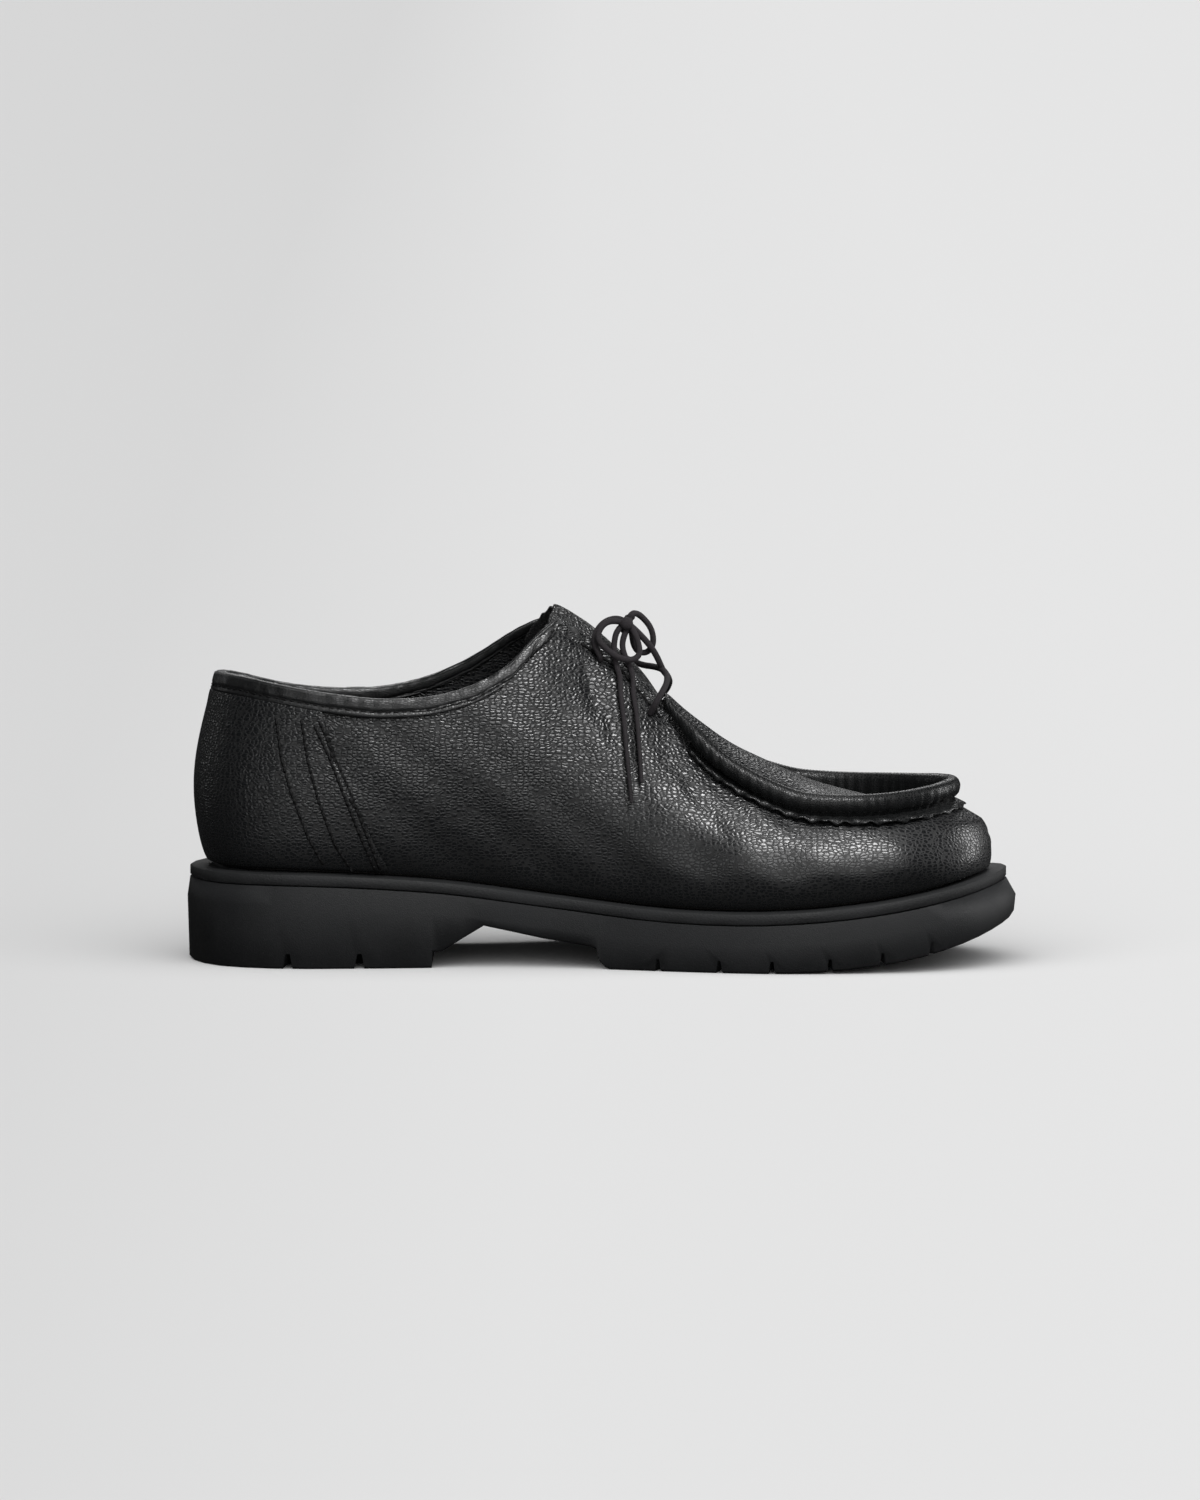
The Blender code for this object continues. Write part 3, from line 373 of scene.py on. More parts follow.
APRON_EDGE = (                  # the same of the apron's seam
    (0.0235, -0.0179, 0.0041, 0.0915, 0.0902), (0.0310, -0.0219, 0.0081, 0.0814, 0.0792),
    (0.0390, -0.0259, 0.0131, 0.0736, 0.0716), (0.0480, -0.0296, 0.0181, 0.0673, 0.0659),
    (0.0580, -0.0326, 0.0226, 0.0619, 0.0615), (0.0690, -0.0346, 0.0252, 0.0575, 0.0579),
    (0.0810, -0.0356, 0.0256, 0.0558, 0.0564), (0.0935, -0.0349, 0.0239, 0.0552, 0.0559),
    (0.1050, -0.0316, 0.0196, 0.0555, 0.0561), (0.1150, -0.0254, 0.0126, 0.0564, 0.0567),
    (0.1225, -0.0167, 0.0034, 0.0575, 0.0576), (0.1256, -0.0074, -0.0074, 0.0581, 0.0581))


def edge_path(rows):
    """The points of an edge on the inner side and on the outer side."""
    inner = [Vector((x, y, z)) for x, y, _, z, _ in rows]
    outer = [Vector((x, y, z)) for x, _, y, _, z in rows]
    return inner, outer


inner_top, outer_top = edge_path(COLLAR_TOP)
TOPLINE = inner_top[::-1] + outer_top[1:]
inner_seam, outer_seam = edge_path(APRON_EDGE)
SEAM = inner_seam + outer_seam[-2::-1]


def along(path, spot):
    """Distance along a path, seen from above, to where it passes a spot, and its height there."""
    best = None
    done = 0.0
    for a, b in zip(path, path[1:]):
        run = (b - a).to_2d()
        share = limited((spot - a).to_2d().dot(run) / run.length_squared)
        gap = ((spot - a).to_2d() - run * share).length
        if best is None or gap < best[0]:
            best = (gap, done + run.length * share, a.z + (b.z - a.z) * share)
        done += run.length
    return best[1], best[2]


def shape(thing, move):
    """Moves each vertex by what move says of its place and its normal, in metres."""
    normals = [vertex.normal.copy() for vertex in thing.data.vertices]
    for vertex, normal in zip(thing.data.vertices, normals):
        vertex.co += move(vertex.co, normal)
    thing.data.update()


def hump(value, centre, width):
    """1 at the centre, and nearly 0 at twice the width from it."""
    return math.exp(-((value - centre) / width) ** 2)


OVERRUN = 0.1                   # how far a crease runs on past its ends, as a share of it


def crease(spot, start, end, width):
    """How close a spot's x and z are to a line, from 0 to 1, fading towards the line's ends."""
    run = Vector((end[0] - start[0], end[1] - start[1]))
    off = Vector((spot.x - start[0], spot.z - start[1]))
    share = off.dot(run) / run.length_squared
    if not -OVERRUN < share < 1 + OVERRUN:
        return 0.0
    gap = (off - run * share).length
    return math.exp(-(gap / width) ** 2) * math.sin(math.pi * (share + OVERRUN) / (1 + 2 * OVERRUN))


VAMP_CREASES = (                # start x, z, end x, z, width, depth
    (0.028, 0.080, 0.060, 0.047, 0.0020, 0.0005),
    (0.022, 0.078, 0.047, 0.046, 0.0022, 0.0004),
    (0.036, 0.072, 0.078, 0.046, 0.0018, 0.0004),
    (0.000, 0.098, 0.008, 0.074, 0.0030, 0.0012),
    (0.012, 0.088, 0.016, 0.062, 0.0024, 0.0009),
    (-0.006, 0.108, -0.001, 0.088, 0.0024, 0.0008),
)
FACINGS = (                     # x, inner y, outer y, inner z, outer z of the facings' edges
    (-0.0170, -0.0169, 0.0046, 0.1268, 0.1255), (-0.0060, -0.0159, 0.0031, 0.1190, 0.1183),
    (0.0090, -0.0159, 0.0026, 0.1088, 0.1083), (0.0235, -0.0179, 0.0041, 0.0915, 0.0902))
INNER_FACING, OUTER_FACING = edge_path(FACINGS)
FOLDED = (-0.020, 0.030, 0.085)         # x from and to, and lowest z, of the facings' folds
DIVIDED = (-0.026, 0.032, 0.086)        # the same of the faces divided once more for them
FACING_FOLD = 0.0040            # how far the folded strip of a facing's edge reaches
FOLD_DEPTH = 0.0014             # of the groove behind the fold
FOLD_SWELL = 0.0010             # of the fold itself
FOLD_RIPPLE = 0.00025
SWAY = 0.0004                   # of the broad, shallow waves all over the leather


def gap_to(path, spot):
    """Distance from a spot to a path, in space."""
    best = 1.0
    for a, b in zip(path, path[1:]):
        run = b - a
        share = limited((spot - a).dot(run) / run.length_squared)
        best = min(best, (spot - a - run * share).length)
    return best


TOE = Vector((0.085, -0.0070))  # the middle of the toe's round end, from above
TOE_FULLNESS = (                # height, and how far the wall is pushed out there
    (0.025, 0.0022), (0.034, 0.0024), (0.041, 0.0003), (0.046, 0.0006), (0.051, 0.0030),
    (0.056, 0.0014), (0.060, 0.0))
WALL_FOOT = 0.022               # below this the leather is turned in under the foot
CREASES_FROM = 0.030            # the leather is pulled flat below this height


def between(rows, value):
    """The second column of a table at a value of its first."""
    if value <= rows[0][0]:
        return rows[0][1]
    for (a, low), (b, high) in zip(rows, rows[1:]):
        if value <= b:
            return low + (high - low) * (value - a) / (b - a)
    return rows[-1][1]


def fuller(spot, normal):
    """The toe's wall stands up nearly straight from the sole to the flange."""
    if normal.z < -0.7 or spot.z < WALL_FOOT:
        return Vector()
    ray = spot.to_2d() - TOE
    share = max(0.0, ray.normalized().x) ** 2 * limited((spot.x - 0.095) / 0.03)
    push = ray.normalized() * between(TOE_FULLNESS, spot.z) * share
    return Vector((push.x, push.y, 0.0))


def lasted(spot, normal):
    """The folded facings, the creases and the soft waves, on the leather's outer face only."""
    if spot.z < CREASES_FROM:
        return fuller(spot, normal)
    depth = 0.0
    if FOLDED[0] < spot.x < FOLDED[1] and spot.z > FOLDED[2]:
        gap = min(gap_to(INNER_FACING, spot), gap_to(OUTER_FACING, spot))
        depth -= FOLD_DEPTH * hump(gap, FACING_FOLD, 0.0008)
        depth += FOLD_SWELL * hump(gap, 0.0014, 0.0018)
        ripple = math.sin(spot.x * 1900.0 + spot.z * 900.0)
        depth += FOLD_RIPPLE * ripple * hump(gap, 0.0020, 0.0022)
    for x0, z0, x1, z1, width, drop in VAMP_CREASES:
        depth -= drop * crease(spot, (x0, z0), (x1, z1), width)
    depth += SWAY * math.sin(spot.x * 210.0 + spot.z * 90.0) * math.sin(spot.z * 160.0 + 1.3)
    if normal.y > 0.25:
        depth *= 0.8            # the outer side is a little smoother
    outward = 1.0 if spot.y * normal.y > 0 or normal.z > 0.5 else 0.0
    return normal * depth * outward + fuller(spot, normal)


upper_leather = leather_material("pebbled_leather", (0.0011, 0.0012, 0.0014),
                                 (0.0040, 0.0044, 0.0049), 0.27, 740.0, 0.00015,
                                 smooth_below=(0.030, 0.070, 0.18))
upper = copy_of("upper", "upper_leather")
apply_modifier(upper, "SUBSURF", levels=2, render_levels=2)
bpy.ops.object.mode_set(mode="EDIT")
bpy.ops.mesh.select_all(action="DESELECT")
bpy.ops.object.mode_set(mode="OBJECT")
for face in upper.data.polygons:
    middle = face.center
    face.select = DIVIDED[0] < middle.x < DIVIDED[1] and middle.z > DIVIDED[2]
bpy.ops.object.mode_set(mode="EDIT")
bpy.ops.mesh.select_mode(type="FACE")
bpy.ops.mesh.subdivide(number_cuts=1)
bpy.ops.object.mode_set(mode="OBJECT")
shape(upper, lasted)
smooth(upper)
finish_piece(upper, upper_leather, "upper_leather", "upper")


# Heel counter
# A panel of the same leather round the heel. Two pairs of stitch rows on each side hold it, and
# the same thread runs along the facings. Under each row lies a dark strip of thread pieces, the
# painted shade of the groove that the stitches lie in.
TUCK = 0.0022                   # how far its top edge goes up under the binding
COUNTER_EDGE = 0.0066           # its top edge's distance below the topline
TUCK_FADE = 0.004
STITCH_LENGTH = 0.0021
STITCH_PITCH = 0.0029
THREAD = 0.0010
GROOVE_SHADE_PITCH = 0.0020          # painted shade: the dark strip of thread pieces along the groove that the stitches lie in
GROOVE_SHADE_LENGTH = 1.8 * GROOVE_SHADE_PITCH
# In each table the first row is the stitches and the second the dark strip of painted groove shade.
COUNTER_THREAD_AND_SHADE = (             # pitch, length, thickness, share of it sunk into the leather
    (STITCH_PITCH, STITCH_LENGTH, THREAD, 0.30), (GROOVE_SHADE_PITCH, GROOVE_SHADE_LENGTH, 0.0020, 0.86))
FACING_THREAD_AND_SHADE = (
    (STITCH_PITCH, STITCH_LENGTH, THREAD, 0.30), (GROOVE_SHADE_PITCH, GROOVE_SHADE_LENGTH, 0.0018, 0.82))
FACING_ROW = (-0.0016, -0.0032)     # x and z from a facing's edge to its stitches
RAY_START = 0.2                 # beside the shoe, well clear of it
COUNTER_ROWS = (                # x and z of each row, from the topline down
    ((-0.1169, 0.0900), (-0.1150, 0.0760), (-0.1117, 0.0643), (-0.1055, 0.0476), (-0.1001, 0.0375)),
    ((-0.1078, 0.0900), (-0.1055, 0.0752), (-0.1015, 0.0603), (-0.0961, 0.0454), (-0.0898, 0.0350)),
    ((-0.1031, 0.0878), (-0.0975, 0.0760), (-0.0921, 0.0618), (-0.0860, 0.0462), (-0.0812, 0.0350)),
    ((-0.1012, 0.0893), (-0.0957, 0.0760), (-0.0898, 0.0625), (-0.0794, 0.0350)),
)
stitches = []


def formed(node_name, name, levels, move):
    """A subdivided copy of a CAD node, brought into shape."""
    thing = copy_of(node_name, name)
    apply_modifier(thing, "SUBSURF", levels=levels, render_levels=levels)
    shape(thing, move)
    smooth(thing)
    return thing


def tucked(spot, normal):
    height = along(TOPLINE, spot)[1]
    return Vector((0.0, 0.0, TUCK)) * limited(1.0 - (height - spot.z - COUNTER_EDGE) / TUCK_FADE)


counter = formed("heel_counter", "heel_counter_leather", 2, tucked)
finish_piece(counter, upper_leather, "upper_leather", "heel_counter")


def trees(*things):
    """One search tree over the finished pieces, for putting thread on them."""
    corners, faces = [], []
    for thing in things:
        base = len(corners)
        corners += [vertex.co.copy() for vertex in thing.data.vertices]
        faces += [[base + i for i in face.vertices] for face in thing.data.polygons]
    return BVHTree.FromPolygons(corners, faces)


def even_points(line, pitch):
    """Places at an even pitch along a line of points, each with the line's direction there."""
    places, left = [], pitch / 2
    for a, b in zip(line, line[1:]):
        run = (b - a).length
        while left <= run:
            places.append((a + (b - a) * (left / run), (b - a).normalized()))
            left += pitch
        left -= run
    return places


bpy.ops.object.select_all(action="DESELECT")
bpy.ops.mesh.primitive_uv_sphere_add(segments=8, ring_count=6, radius=0.5)
stitch_form = bpy.context.object
stitch_form.name = "stitch_form"


def add_stitch(place, direction, outward, length, thread, sunk):
    """One stitch-shaped piece, lying in the leather by a share of its thickness; overlapped, the
    same pieces make the strips of painted groove shade.
    """
    outward = (outward - direction * outward.dot(direction)).normalized()
    across = direction.cross(outward)
    turn = Matrix((direction, across, outward)).transposed().to_4x4()
    size = Matrix.Diagonal((length, thread, thread, 1.0))
    one = stitch_form.copy()
    one.data = stitch_form.data.copy()
    one.data.transform(Matrix.Translation(place + outward * thread * (0.5 - sunk)) @ turn @ size)
    one.matrix_world = Matrix()
    scene.collection.objects.link(one)
    stitches.append(one)


def sew_side(side, row, thread_and_shade_rows):
    """Stitches along a row of x and z on one side, then the dark strip of painted shade in the
    groove that they lie in.
    """
    def leather(x, z):
        ray = Vector((0.0, -side, 0.0))
        return heel_tree.ray_cast(Vector((x, side * RAY_START, z)), ray)[:2]

    line = [spot for spot, _ in (leather(x, z) for x, z in row) if spot]
    for pitch, length, thread, sunk in thread_and_shade_rows:
        for place, direction in even_points(line, pitch):
            spot, outward = leather(place.x, place.z)
            if spot:
                add_stitch(spot, direction, outward, length, thread, sunk)


def join_stitches(name):
    """Makes one piece of the stitches, and of any painted groove shade, added since the last one.
    """
    bpy.ops.object.select_all(action="DESELECT")
    for one in stitches:
        one.select_set(True)
    bpy.context.view_layer.objects.active = stitches[0]
    bpy.ops.object.join()
    joined = bpy.context.object
    joined.name = joined.data.name = name
    stitches.clear()
    smooth(joined)
    return joined


def thread_material():
    material, shader = new_material("sewing_thread_and_groove_shade", 0.65, specular=0.2)
    tree = material.node_tree
    place = add_node(tree, "ShaderNodeTexCoord").outputs["Object"]
    twist = add_node(tree, "ShaderNodeTexWave",
                     {"Vector": place, "Scale": 900.0, "Distortion": 2.0},
                     bands_direction="DIAGONAL").outputs["Fac"]
    shades = [(0.2, (0.0008, 0.0008, 0.0009)), (0.8, (0.0035, 0.0035, 0.0038))]
    tree.links.new(colour_ramp(tree, twist, shades), shader.inputs["Base Color"])
    bump(tree, shader, twist, 0.6, 0.0001)
    return material


sewing_thread_and_groove_shade = thread_material()
heel_tree = trees(upper, counter)
for side in (-1.0, 1.0):
    for row in COUNTER_ROWS:
        sew_side(side, row, COUNTER_THREAD_AND_SHADE)
counter_stitches_and_shade = join_stitches("counter_stitching_and_groove_shade")
finish_piece(counter_stitches_and_shade, sewing_thread_and_groove_shade, "upper_leather")
for side, path in ((-1.0, INNER_FACING), (1.0, OUTER_FACING)):
    row = [(spot.x + FACING_ROW[0], spot.z + FACING_ROW[1]) for spot in path]
    sew_side(side, row, FACING_THREAD_AND_SHADE)
facing_stitches_and_shade = join_stitches("facing_stitching_and_groove_shade")
finish_piece(facing_stitches_and_shade, sewing_thread_and_groove_shade, "upper_leather")


# Apron roll
# The round roll on the apron seam: the apron's edge drawn over the vamp's, with small gathers
# between the stitches along its lower side.
GATHER = 0.0042                 # from one gather to the next
GATHER_DEPTH = 0.00022
ROLL_RIPPLE = 0.00006
APRON_MIDDLE = Vector((0.085, -0.0060))


def gathered(spot, normal):
    """Small gathers below, and the roll's lower face let down onto the apron."""
    run = along(SEAM, spot)[0]
    low = limited(0.5 - normal.z * 0.6)
    wave = math.sin(2 * math.pi * run / GATHER + 1.2 * math.sin(run * 330.0))
    toward = (APRON_MIDDLE - spot.to_2d()).normalized()
    facing_in = limited(0.5 + 1.2 * normal.to_2d().dot(toward))
    drop = limited(0.25 - normal.z) * (0.0010 + 0.0034 * facing_in)
    drop *= limited((spot.x - 0.03) / 0.03)
    ripple = ROLL_RIPPLE * math.sin(run * 5200.0 + spot.z * 2500.0)
    return normal * (GATHER_DEPTH * wave * low + ripple) - Vector((0.0, 0.0, drop))


roll = formed("apron_roll", "apron_roll_leather", 3, gathered)
roll_leather = leather_material("roll_leather", (0.0016, 0.0018, 0.0019),
                                (0.0045, 0.0048, 0.0050), 0.27, 1100.0, 0.00004,
                                stretch=(0.8, 0.8, 1.2), specular=0.25)
finish_piece(roll, roll_leather, "upper_leather", "apron_roll")


# Seam flange
# The vamp's edge, which stands out under the roll in small waves and casts a shadow.
WAVE = 0.0082                   # from one wave to the next
WAVE_RISE = 0.0014
WAVE_SWING = 0.0008


def waved(spot, normal):
    run, height = along(SEAM, spot)
    low = limited((height - spot.z - 0.0005) / 0.004)
    wave = math.sin(2 * math.pi * run / WAVE + 0.9 * math.sin(run * 95.0))
    rise = Vector((0.0, 0.0, (WAVE_RISE * wave - 0.0008) * low))
    return rise + Vector((normal.x, normal.y, 0.0)) * (WAVE_SWING * wave + 0.0005) * low


flange = formed("seam_flange", "seam_flange_leather", 2, waved)
finish_piece(flange, roll_leather, "upper_leather", "seam_flange")


# Topline binding
# A strip of leather folded over the collar's edge, drawn in along one row of stitches.
BINDING_STITCH = 0.0036         # distance of its stitches below the edge
BINDING_THREAD = 0.0006
BINDING_GROOVE = 0.0006         # depth of the groove that the stitches pull
BINDING_FOLD = 0.00006
BINDING_WANDER = 0.00014
HEEL_SWELL = 0.0007             # how much fuller the strip is behind the ankle
BINDING_END = Vector((0.0022, 0.0, -0.0014))    # its ends turn down to the throat
COLLAR_MIDDLE = Vector((-0.075, -0.0044, 0.0))


def drawn_in(spot, normal):
    """A groove at the stitches with small folds round it, and a fuller strip at the heel."""
    run, height = along(TOPLINE, spot)
    down = height - spot.z
    pucker = math.sin(2 * math.pi * run / STITCH_PITCH)
    groove = hump(down, BINDING_STITCH, 0.0006)
    folds = BINDING_FOLD * pucker * hump(down, BINDING_STITCH, 0.0018)
    wander = BINDING_WANDER * math.sin(run * 900.0 + 2.0 * math.sin(run * 170.0))
    swell = HEEL_SWELL * limited((-0.06 - spot.x) / 0.03) if down > -0.0005 else 0.0003
    push = folds + swell - BINDING_GROOVE * groove + wander * hump(down, 0.0015, 0.002)
    return normal * push + BINDING_END * hump(spot.x, -0.0165, 0.006)


binding = formed("topline_binding", "topline_binding_leather", 3, drawn_in)
binding_leather = leather_material("binding_leather", (0.0014, 0.0015, 0.0016),
                                   (0.0040, 0.0043, 0.0045), 0.28, 1100.0, 0.00004)
finish_piece(binding, binding_leather, "binding_leather", "topline_binding")
collar_tree = trees(binding, upper)
line = []
for a, b in zip(TOPLINE, TOPLINE[1:]):
    line += [a.lerp(b, i / 4) for i in range(4)]
for place, direction in even_points(line, STITCH_PITCH)[1:-1]:
    low = Vector((place.x, place.y, place.z - BINDING_STITCH))
    aside = direction.cross(Vector((0.0, 0.0, 1.0)))
    outward = Vector((aside.x, aside.y, 0.0)).normalized()
    if outward.dot(place - COLLAR_MIDDLE) < 0:
        outward = -outward
    hit = collar_tree.ray_cast(low + outward * 0.02, -outward)
    if hit[0]:
        add_stitch(hit[0], direction, hit[1], STITCH_LENGTH, BINDING_THREAD, 0.25)
collar_thread = join_stitches("topline_stitching")
finish_piece(collar_thread, sewing_thread_and_groove_shade, "binding_leather")


# Tongue
# A leaf of leather under the facings and the apron, with a raw top edge.
RAGGED = 0.0006                 # how uneven its raw edge is
LEAN = Vector((-0.0034, 0.0, 0.0016))
PRESSED = Vector((-0.0008, 0.0, -0.0012))       # by the lace


def free_end(spot, normal):
    """Its free end leans back and up, and it lies lower where the lace crosses."""
    share = limited((-0.004 - spot.x) / 0.010) * limited((spot.z - 0.112) / 0.012)
    ragged = RAGGED * math.sin(spot.y * 1500.0) * share
    return LEAN * share + PRESSED * hump(spot.x, 0.010, 0.012) + Vector((0.0, 0.0, ragged))


tongue = formed("tongue", "tongue_leather", 2, free_end)
tongue_leather = leather_material("tongue_leather", (0.003, 0.003, 0.003), (0.009, 0.009, 0.0095),
                                  0.3, 900.0, 0.0002)
finish_piece(tongue, tongue_leather, "tongue_leather", "tongue")


# Lace
# A round woven cord, 2.8 mm thick, through two pairs of plain holes and tied in a bow.
LACE_WIDTH = 0.0023             # once pulled tight
WRAP = 6                        # points in one turn of the knot
WRAP_HALF = (0.0008, 0.0027, 0.0029)    # the turn's step in x, and its half sizes in y and z
WRAP_LEAN = 0.0012
END_TAPER = 0.62                # width of a hanging end's tip, as a share of the lace
LOOP_TAPER = 0.95
BOW = {
    "lace_loop_near": (
        (0.0084, -0.0148, 0.1229), (0.0057, -0.0168, 0.1236), (0.0031, -0.0178, 0.1239),
        (0.0007, -0.0191, 0.1228), (-0.0009, -0.0202, 0.1206), (-0.0016, -0.0210, 0.1179),
        (0.0000, -0.0218, 0.1156), (0.0027, -0.0223, 0.1132), (0.0056, -0.0222, 0.1112),
        (0.0089, -0.0213, 0.1100), (0.0118, -0.0200, 0.1100), (0.0136, -0.0192, 0.1114),
        (0.0138, -0.0184, 0.1136), (0.0132, -0.0176, 0.1163), (0.0122, -0.0170, 0.1190),
        (0.0107, -0.0148, 0.1213)),
    "lace_loop_far": (
        (0.0097, -0.0128, 0.1240), (0.0108, -0.0140, 0.1262), (0.0124, -0.0109, 0.1260),
        (0.0140, -0.0084, 0.1249), (0.0162, -0.0070, 0.1226), (0.0180, -0.0062, 0.1199),
        (0.0188, -0.0058, 0.1166), (0.0186, -0.0056, 0.1138), (0.0172, -0.0056, 0.1116),
        (0.0152, -0.0060, 0.1108), (0.0128, -0.0076, 0.1118), (0.0116, -0.0098, 0.1142),
        (0.0111, -0.0118, 0.1170), (0.0109, -0.0130, 0.1193), (0.0100, -0.0128, 0.1215)),
    "lace_end_front": (
        (0.0096, -0.0140, 0.1220), (0.0086, -0.0156, 0.1193), (0.0074, -0.0162, 0.1165),
        (0.0076, -0.0166, 0.1130), (0.0092, -0.0176, 0.1094), (0.0104, -0.0183, 0.1071),
        (0.0116, -0.0200, 0.1033), (0.0112, -0.0223, 0.0994), (0.0118, -0.0242, 0.0954),
        (0.0126, -0.0260, 0.0914), (0.0130, -0.0281, 0.0875), (0.0133, -0.0301, 0.0836),
        (0.0136, -0.0322, 0.0796), (0.0139, -0.0342, 0.0756), (0.0142, -0.0360, 0.0716),
        (0.0144, -0.0377, 0.0675)),
    "lace_end_rear": (
        (0.0080, -0.0140, 0.1222), (0.0054, -0.0164, 0.1205), (0.0045, -0.0169, 0.1163),
        (0.0045, -0.0180, 0.1121), (0.0052, -0.0198, 0.1081), (0.0067, -0.0215, 0.1044),
        (0.0067, -0.0235, 0.1005), (0.0070, -0.0255, 0.0967), (0.0076, -0.0273, 0.0928),
        (0.0081, -0.0292, 0.0888), (0.0085, -0.0310, 0.0849), (0.0088, -0.0328, 0.0809),
        (0.0092, -0.0345, 0.0769), (0.0096, -0.0361, 0.0729), (0.0100, -0.0375, 0.0688),
        (0.0104, -0.0386, 0.0646), (0.0108, -0.0398, 0.0604)),
}
KNOT_PLACE = Vector((0.0090, -0.0122, 0.1222))
CROSSINGS = (
    ((0.0176, -0.0222, 0.0908), (0.0188, -0.0240, 0.0932), (0.0198, -0.0249, 0.0953),
     (0.0216, -0.0237, 0.0983), (0.0231, -0.0197, 0.1004), (0.0238, -0.0158, 0.1022),
     (0.0237, -0.0117, 0.1037), (0.0224, -0.0076, 0.1049), (0.0204, -0.0038, 0.1055),
     (0.0179, -0.0002, 0.1056), (0.0152, 0.0033, 0.1055), (0.0120, 0.0061, 0.1064),
     (0.0084, 0.0081, 0.1079), (0.0044, 0.0092, 0.1094), (0.0002, 0.0084, 0.1101),
     (-0.0003, 0.0074, 0.1093)),
    ((0.0177, 0.0121, 0.0890), (0.0194, 0.0126, 0.0912), (0.0212, 0.0121, 0.0930),
     (0.0234, 0.0097, 0.0958), (0.0246, 0.0060, 0.0982), (0.0247, 0.0021, 0.1004),
     (0.0238, -0.0018, 0.1025), (0.0222, -0.0056, 0.1044), (0.0209, -0.0076, 0.1080),
     (0.0190, -0.0085, 0.1119), (0.0163, -0.0090, 0.1155), (0.0133, -0.0097, 0.1187),
     (0.0101, -0.0103, 0.1218), (0.0066, -0.0115, 0.1242), (0.0027, -0.0136, 0.1241),
     (-0.0006, -0.0157, 0.1219), (-0.0025, -0.0177, 0.1185), (-0.0027, -0.0193, 0.1144),
     (0.0000, -0.0203, 0.1109), (-0.0004, -0.0189, 0.1101)),
)
lace_cord = rubber_material("lace_cord", (0.0075, 0.0060, 0.0070), (0.0150, 0.0125, 0.0145),
                            1900.0, 1.0, 0.85)


def lace(name, points, width, last=1.0):
    """A round cord along the points, which narrows to the last share of its width."""
    data = bpy.data.curves.new(name, "CURVE")
    data.dimensions = "3D"
    data.bevel_depth = width / 2
    data.bevel_resolution = 3
    data.use_fill_caps = True
    data.resolution_u = 6
    line = data.splines.new("NURBS")
    line.points.add(len(points) - 1)
    for number, (point, spot) in enumerate(zip(line.points, points)):
        point.co = (*spot, 1.0)
        point.radius = 1.0 + (last - 1.0) * number / (len(points) - 1)
    line.order_u = 4
    line.use_endpoint_u = True
    thing = bpy.data.objects.new(name, data)
    scene.collection.objects.link(thing)
    return thing


def as_mesh(cord):
    select_only(cord)
    bpy.ops.object.convert(target="MESH")
    smooth(cord)
    return cord


for number, route in enumerate(CROSSINGS):
    bar = as_mesh(lace(f"lace_crossing_{number + 1}", route, LACE_WIDTH))
    finish_piece(bar, lace_cord, "lace_cord", *(["lace_bars"] if number == 0 else []))
knot = copy_of("lace_knot", "lace_knot_cord")
apply_modifier(knot, "SUBSURF", levels=1, render_levels=1)
smooth(knot)
finish_piece(knot, lace_cord, "lace_cord", "lace_knot")
turns = []
for step in range(2 * WRAP + 3):
    angle = 2 * math.pi * step / WRAP
    forward = WRAP_HALF[0] * (step / WRAP - 1) + WRAP_LEAN * math.sin(angle)
    turns.append(KNOT_PLACE + Vector((forward, WRAP_HALF[1] * math.cos(angle),
                                      WRAP_HALF[2] * math.sin(angle))))
wrap = as_mesh(lace("lace_knot_wrap", turns, 0.9 * LACE_WIDTH))
finish_piece(wrap, lace_cord, "lace_cord")
for name, route in BOW.items():
    piece = lace(name + "_cord", route, LACE_WIDTH, LOOP_TAPER if "loop" in name else END_TAPER)
    finish_piece(piece, lace_cord, "lace_cord", name)


# Studio
# A wide pale floor under even light, its colour painted a little darker to the left as painted
# shade, and soft lights that fall on the shoe alone.
FLOOR_SIZE = 40.0
FLOOR_PAINTED_SHADE = ((0.0, 0.70), (0.45, 0.785), (1.0, 0.81))     # painted shade, from left to right: places and their greys
PAINTED_SHADE_REACH = 0.22              # the painted shade changes from here on the left to here on the right
SHOE_LIGHTS = (                 # name, place, aim, width, height, power
    ("front_key", (0.30, -0.86, 1.20), (0.03, 0.0, 0.06), 0.40, 0.40, 20.0),
    ("low_front", (0.35, -1.9, 1.05), (0.0, 0.0, 0.06), 1.3, 0.7, 16.0),
    ("top_box", (0.1, 0.0, 1.5), (0.0, 0.0, 0.06), 0.6, 0.35, 5.0),
    ("left_strip", (-1.3, 0.6, 0.5), (-0.1, 0.0, 0.06), 0.2, 0.9, 1.0),
    ("right_strip", (1.4, 0.4, 0.4), (0.1, 0.0, 0.06), 0.4, 1.0, 12.0),
    ("rear_box", (0.0, 2.0, 1.3), (0.0, 0.0, 0.06), 1.6, 0.8, 14.0),
    ("bounce", (0.0, -1.2, 0.06), (0.0, 0.0, 0.05), 2.0, 0.25, 3.6),
)
SUN_POWER = 3.6
SUN_SPREAD = math.radians(110)
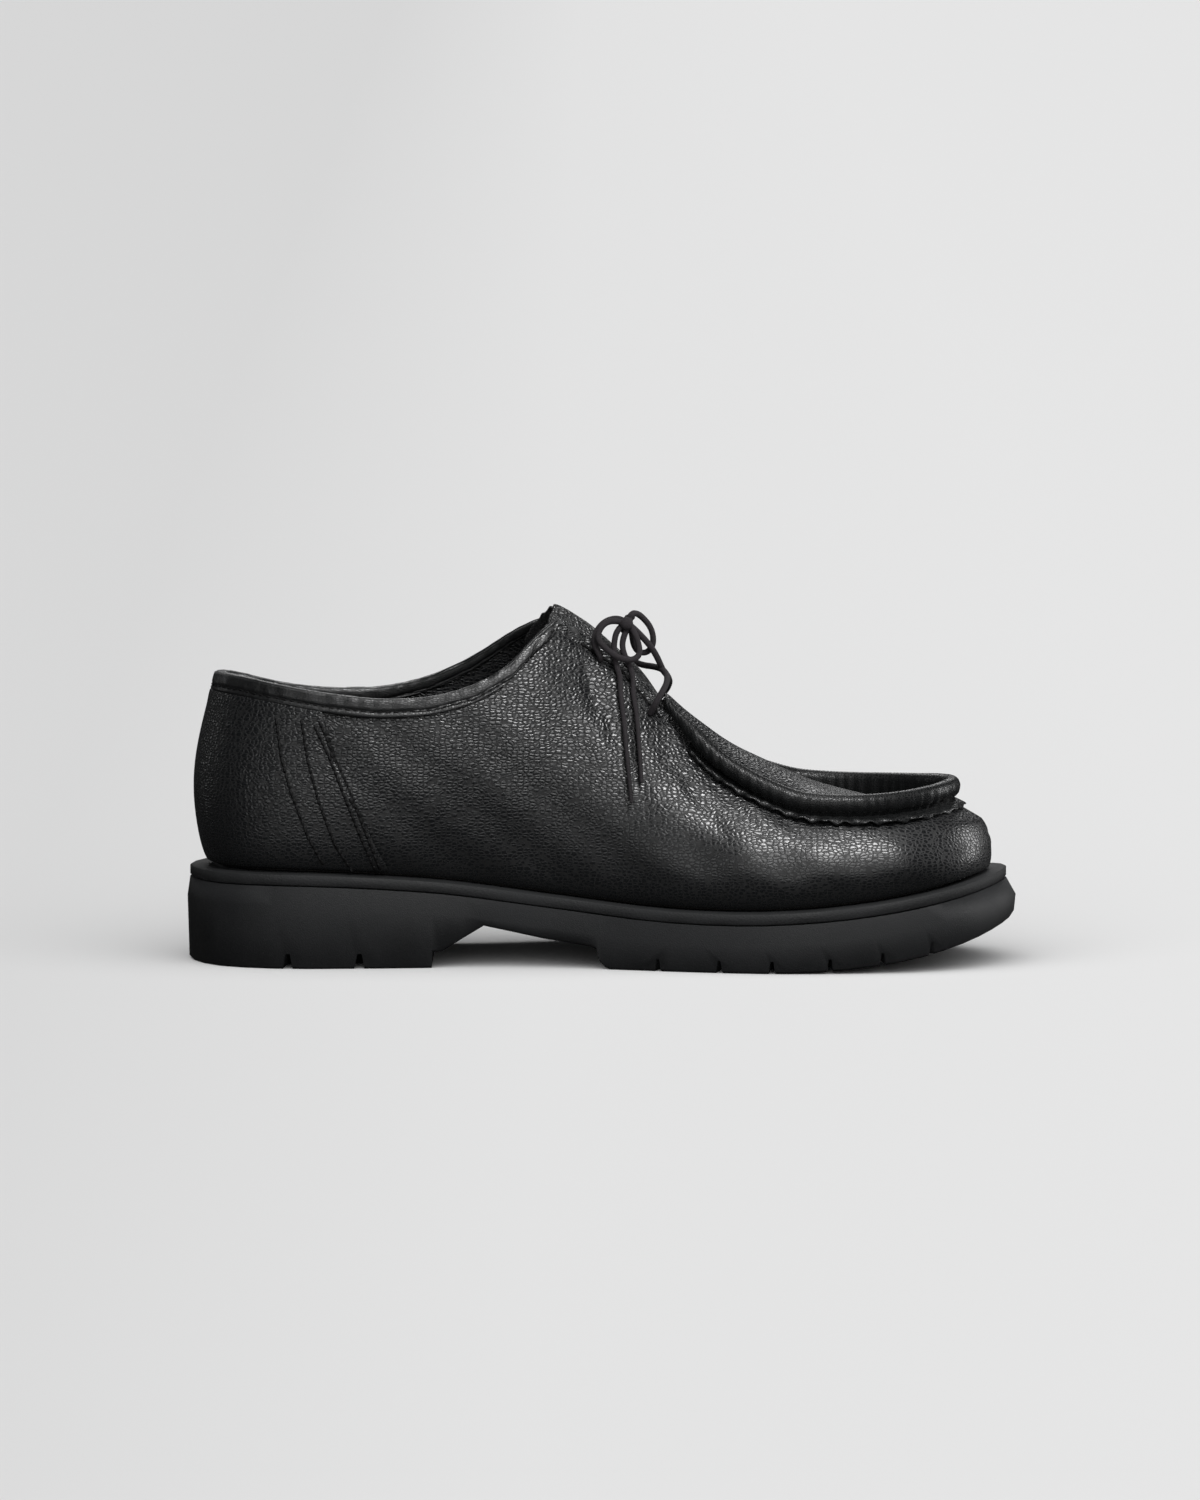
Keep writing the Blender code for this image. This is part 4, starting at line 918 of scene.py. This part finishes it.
SUN_TILT = math.radians(32)
SKY = (0.9, 0.92, 0.95, 1.0)
SKY_STRENGTH = 0.03
scene.view_settings.view_transform = "Standard"
bpy.data.objects.remove(stitch_form)

bpy.ops.object.select_all(action="DESELECT")
bpy.ops.mesh.primitive_plane_add(size=FLOOR_SIZE)
ground = bpy.context.object
ground.name = "pale_floor"
pale, pale_shader = new_material("pale_floor", 0.9, specular=0.1)
pale_tree = pale.node_tree
floor_place = add_node(pale_tree, "ShaderNodeTexCoord").outputs["Object"]
across = add_node(pale_tree, "ShaderNodeSeparateXYZ", {"Vector": floor_place}).outputs["X"]
share = map_range(pale_tree, across, -PAINTED_SHADE_REACH, PAINTED_SHADE_REACH, 0.0, 1.0)
# Painted shade: the floor's colour darkens towards the left.
painted_shade = colour_ramp(pale_tree, share, [(place, (grey, grey, grey)) for place, grey in FLOOR_PAINTED_SHADE])
pale_tree.links.new(painted_shade, pale_shader.inputs["Base Color"])
ground.data.materials.append(pale)
ground.visible_glossy = False   # the black leather keeps its depth
ground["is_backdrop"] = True


def soft_light(name, place, aim, width, height, power):
    facing = (Vector(aim) - Vector(place)).to_track_quat("-Z", "Y").to_euler()
    bpy.ops.object.light_add(type="AREA", location=place, rotation=facing)
    light = bpy.context.object
    light.name = name
    light.data.shape = "RECTANGLE"
    light.data.size = width
    light.data.size_y = height
    light.data.energy = power
    return light


shoe_group = bpy.data.collections.new("lit_shoe")
floor_group = bpy.data.collections.new("lit_floor")
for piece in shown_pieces():
    shoe_group.objects.link(piece)
floor_group.objects.link(ground)

bpy.ops.object.light_add(type="SUN", rotation=(SUN_TILT, 0.0, 0.0))
even_light = bpy.context.object
even_light.name = "even_light"
even_light.data.energy = SUN_POWER
even_light.data.angle = SUN_SPREAD
even_light.light_linking.receiver_collection = floor_group
for row in SHOE_LIGHTS:
    soft_light(*row).light_linking.receiver_collection = shoe_group
world = bpy.data.worlds.new("studio")
scene.world = world
world.use_nodes = True
sky = world.node_tree.nodes["Background"]
sky.inputs["Color"].default_value = SKY
sky.inputs["Strength"].default_value = SKY_STRENGTH
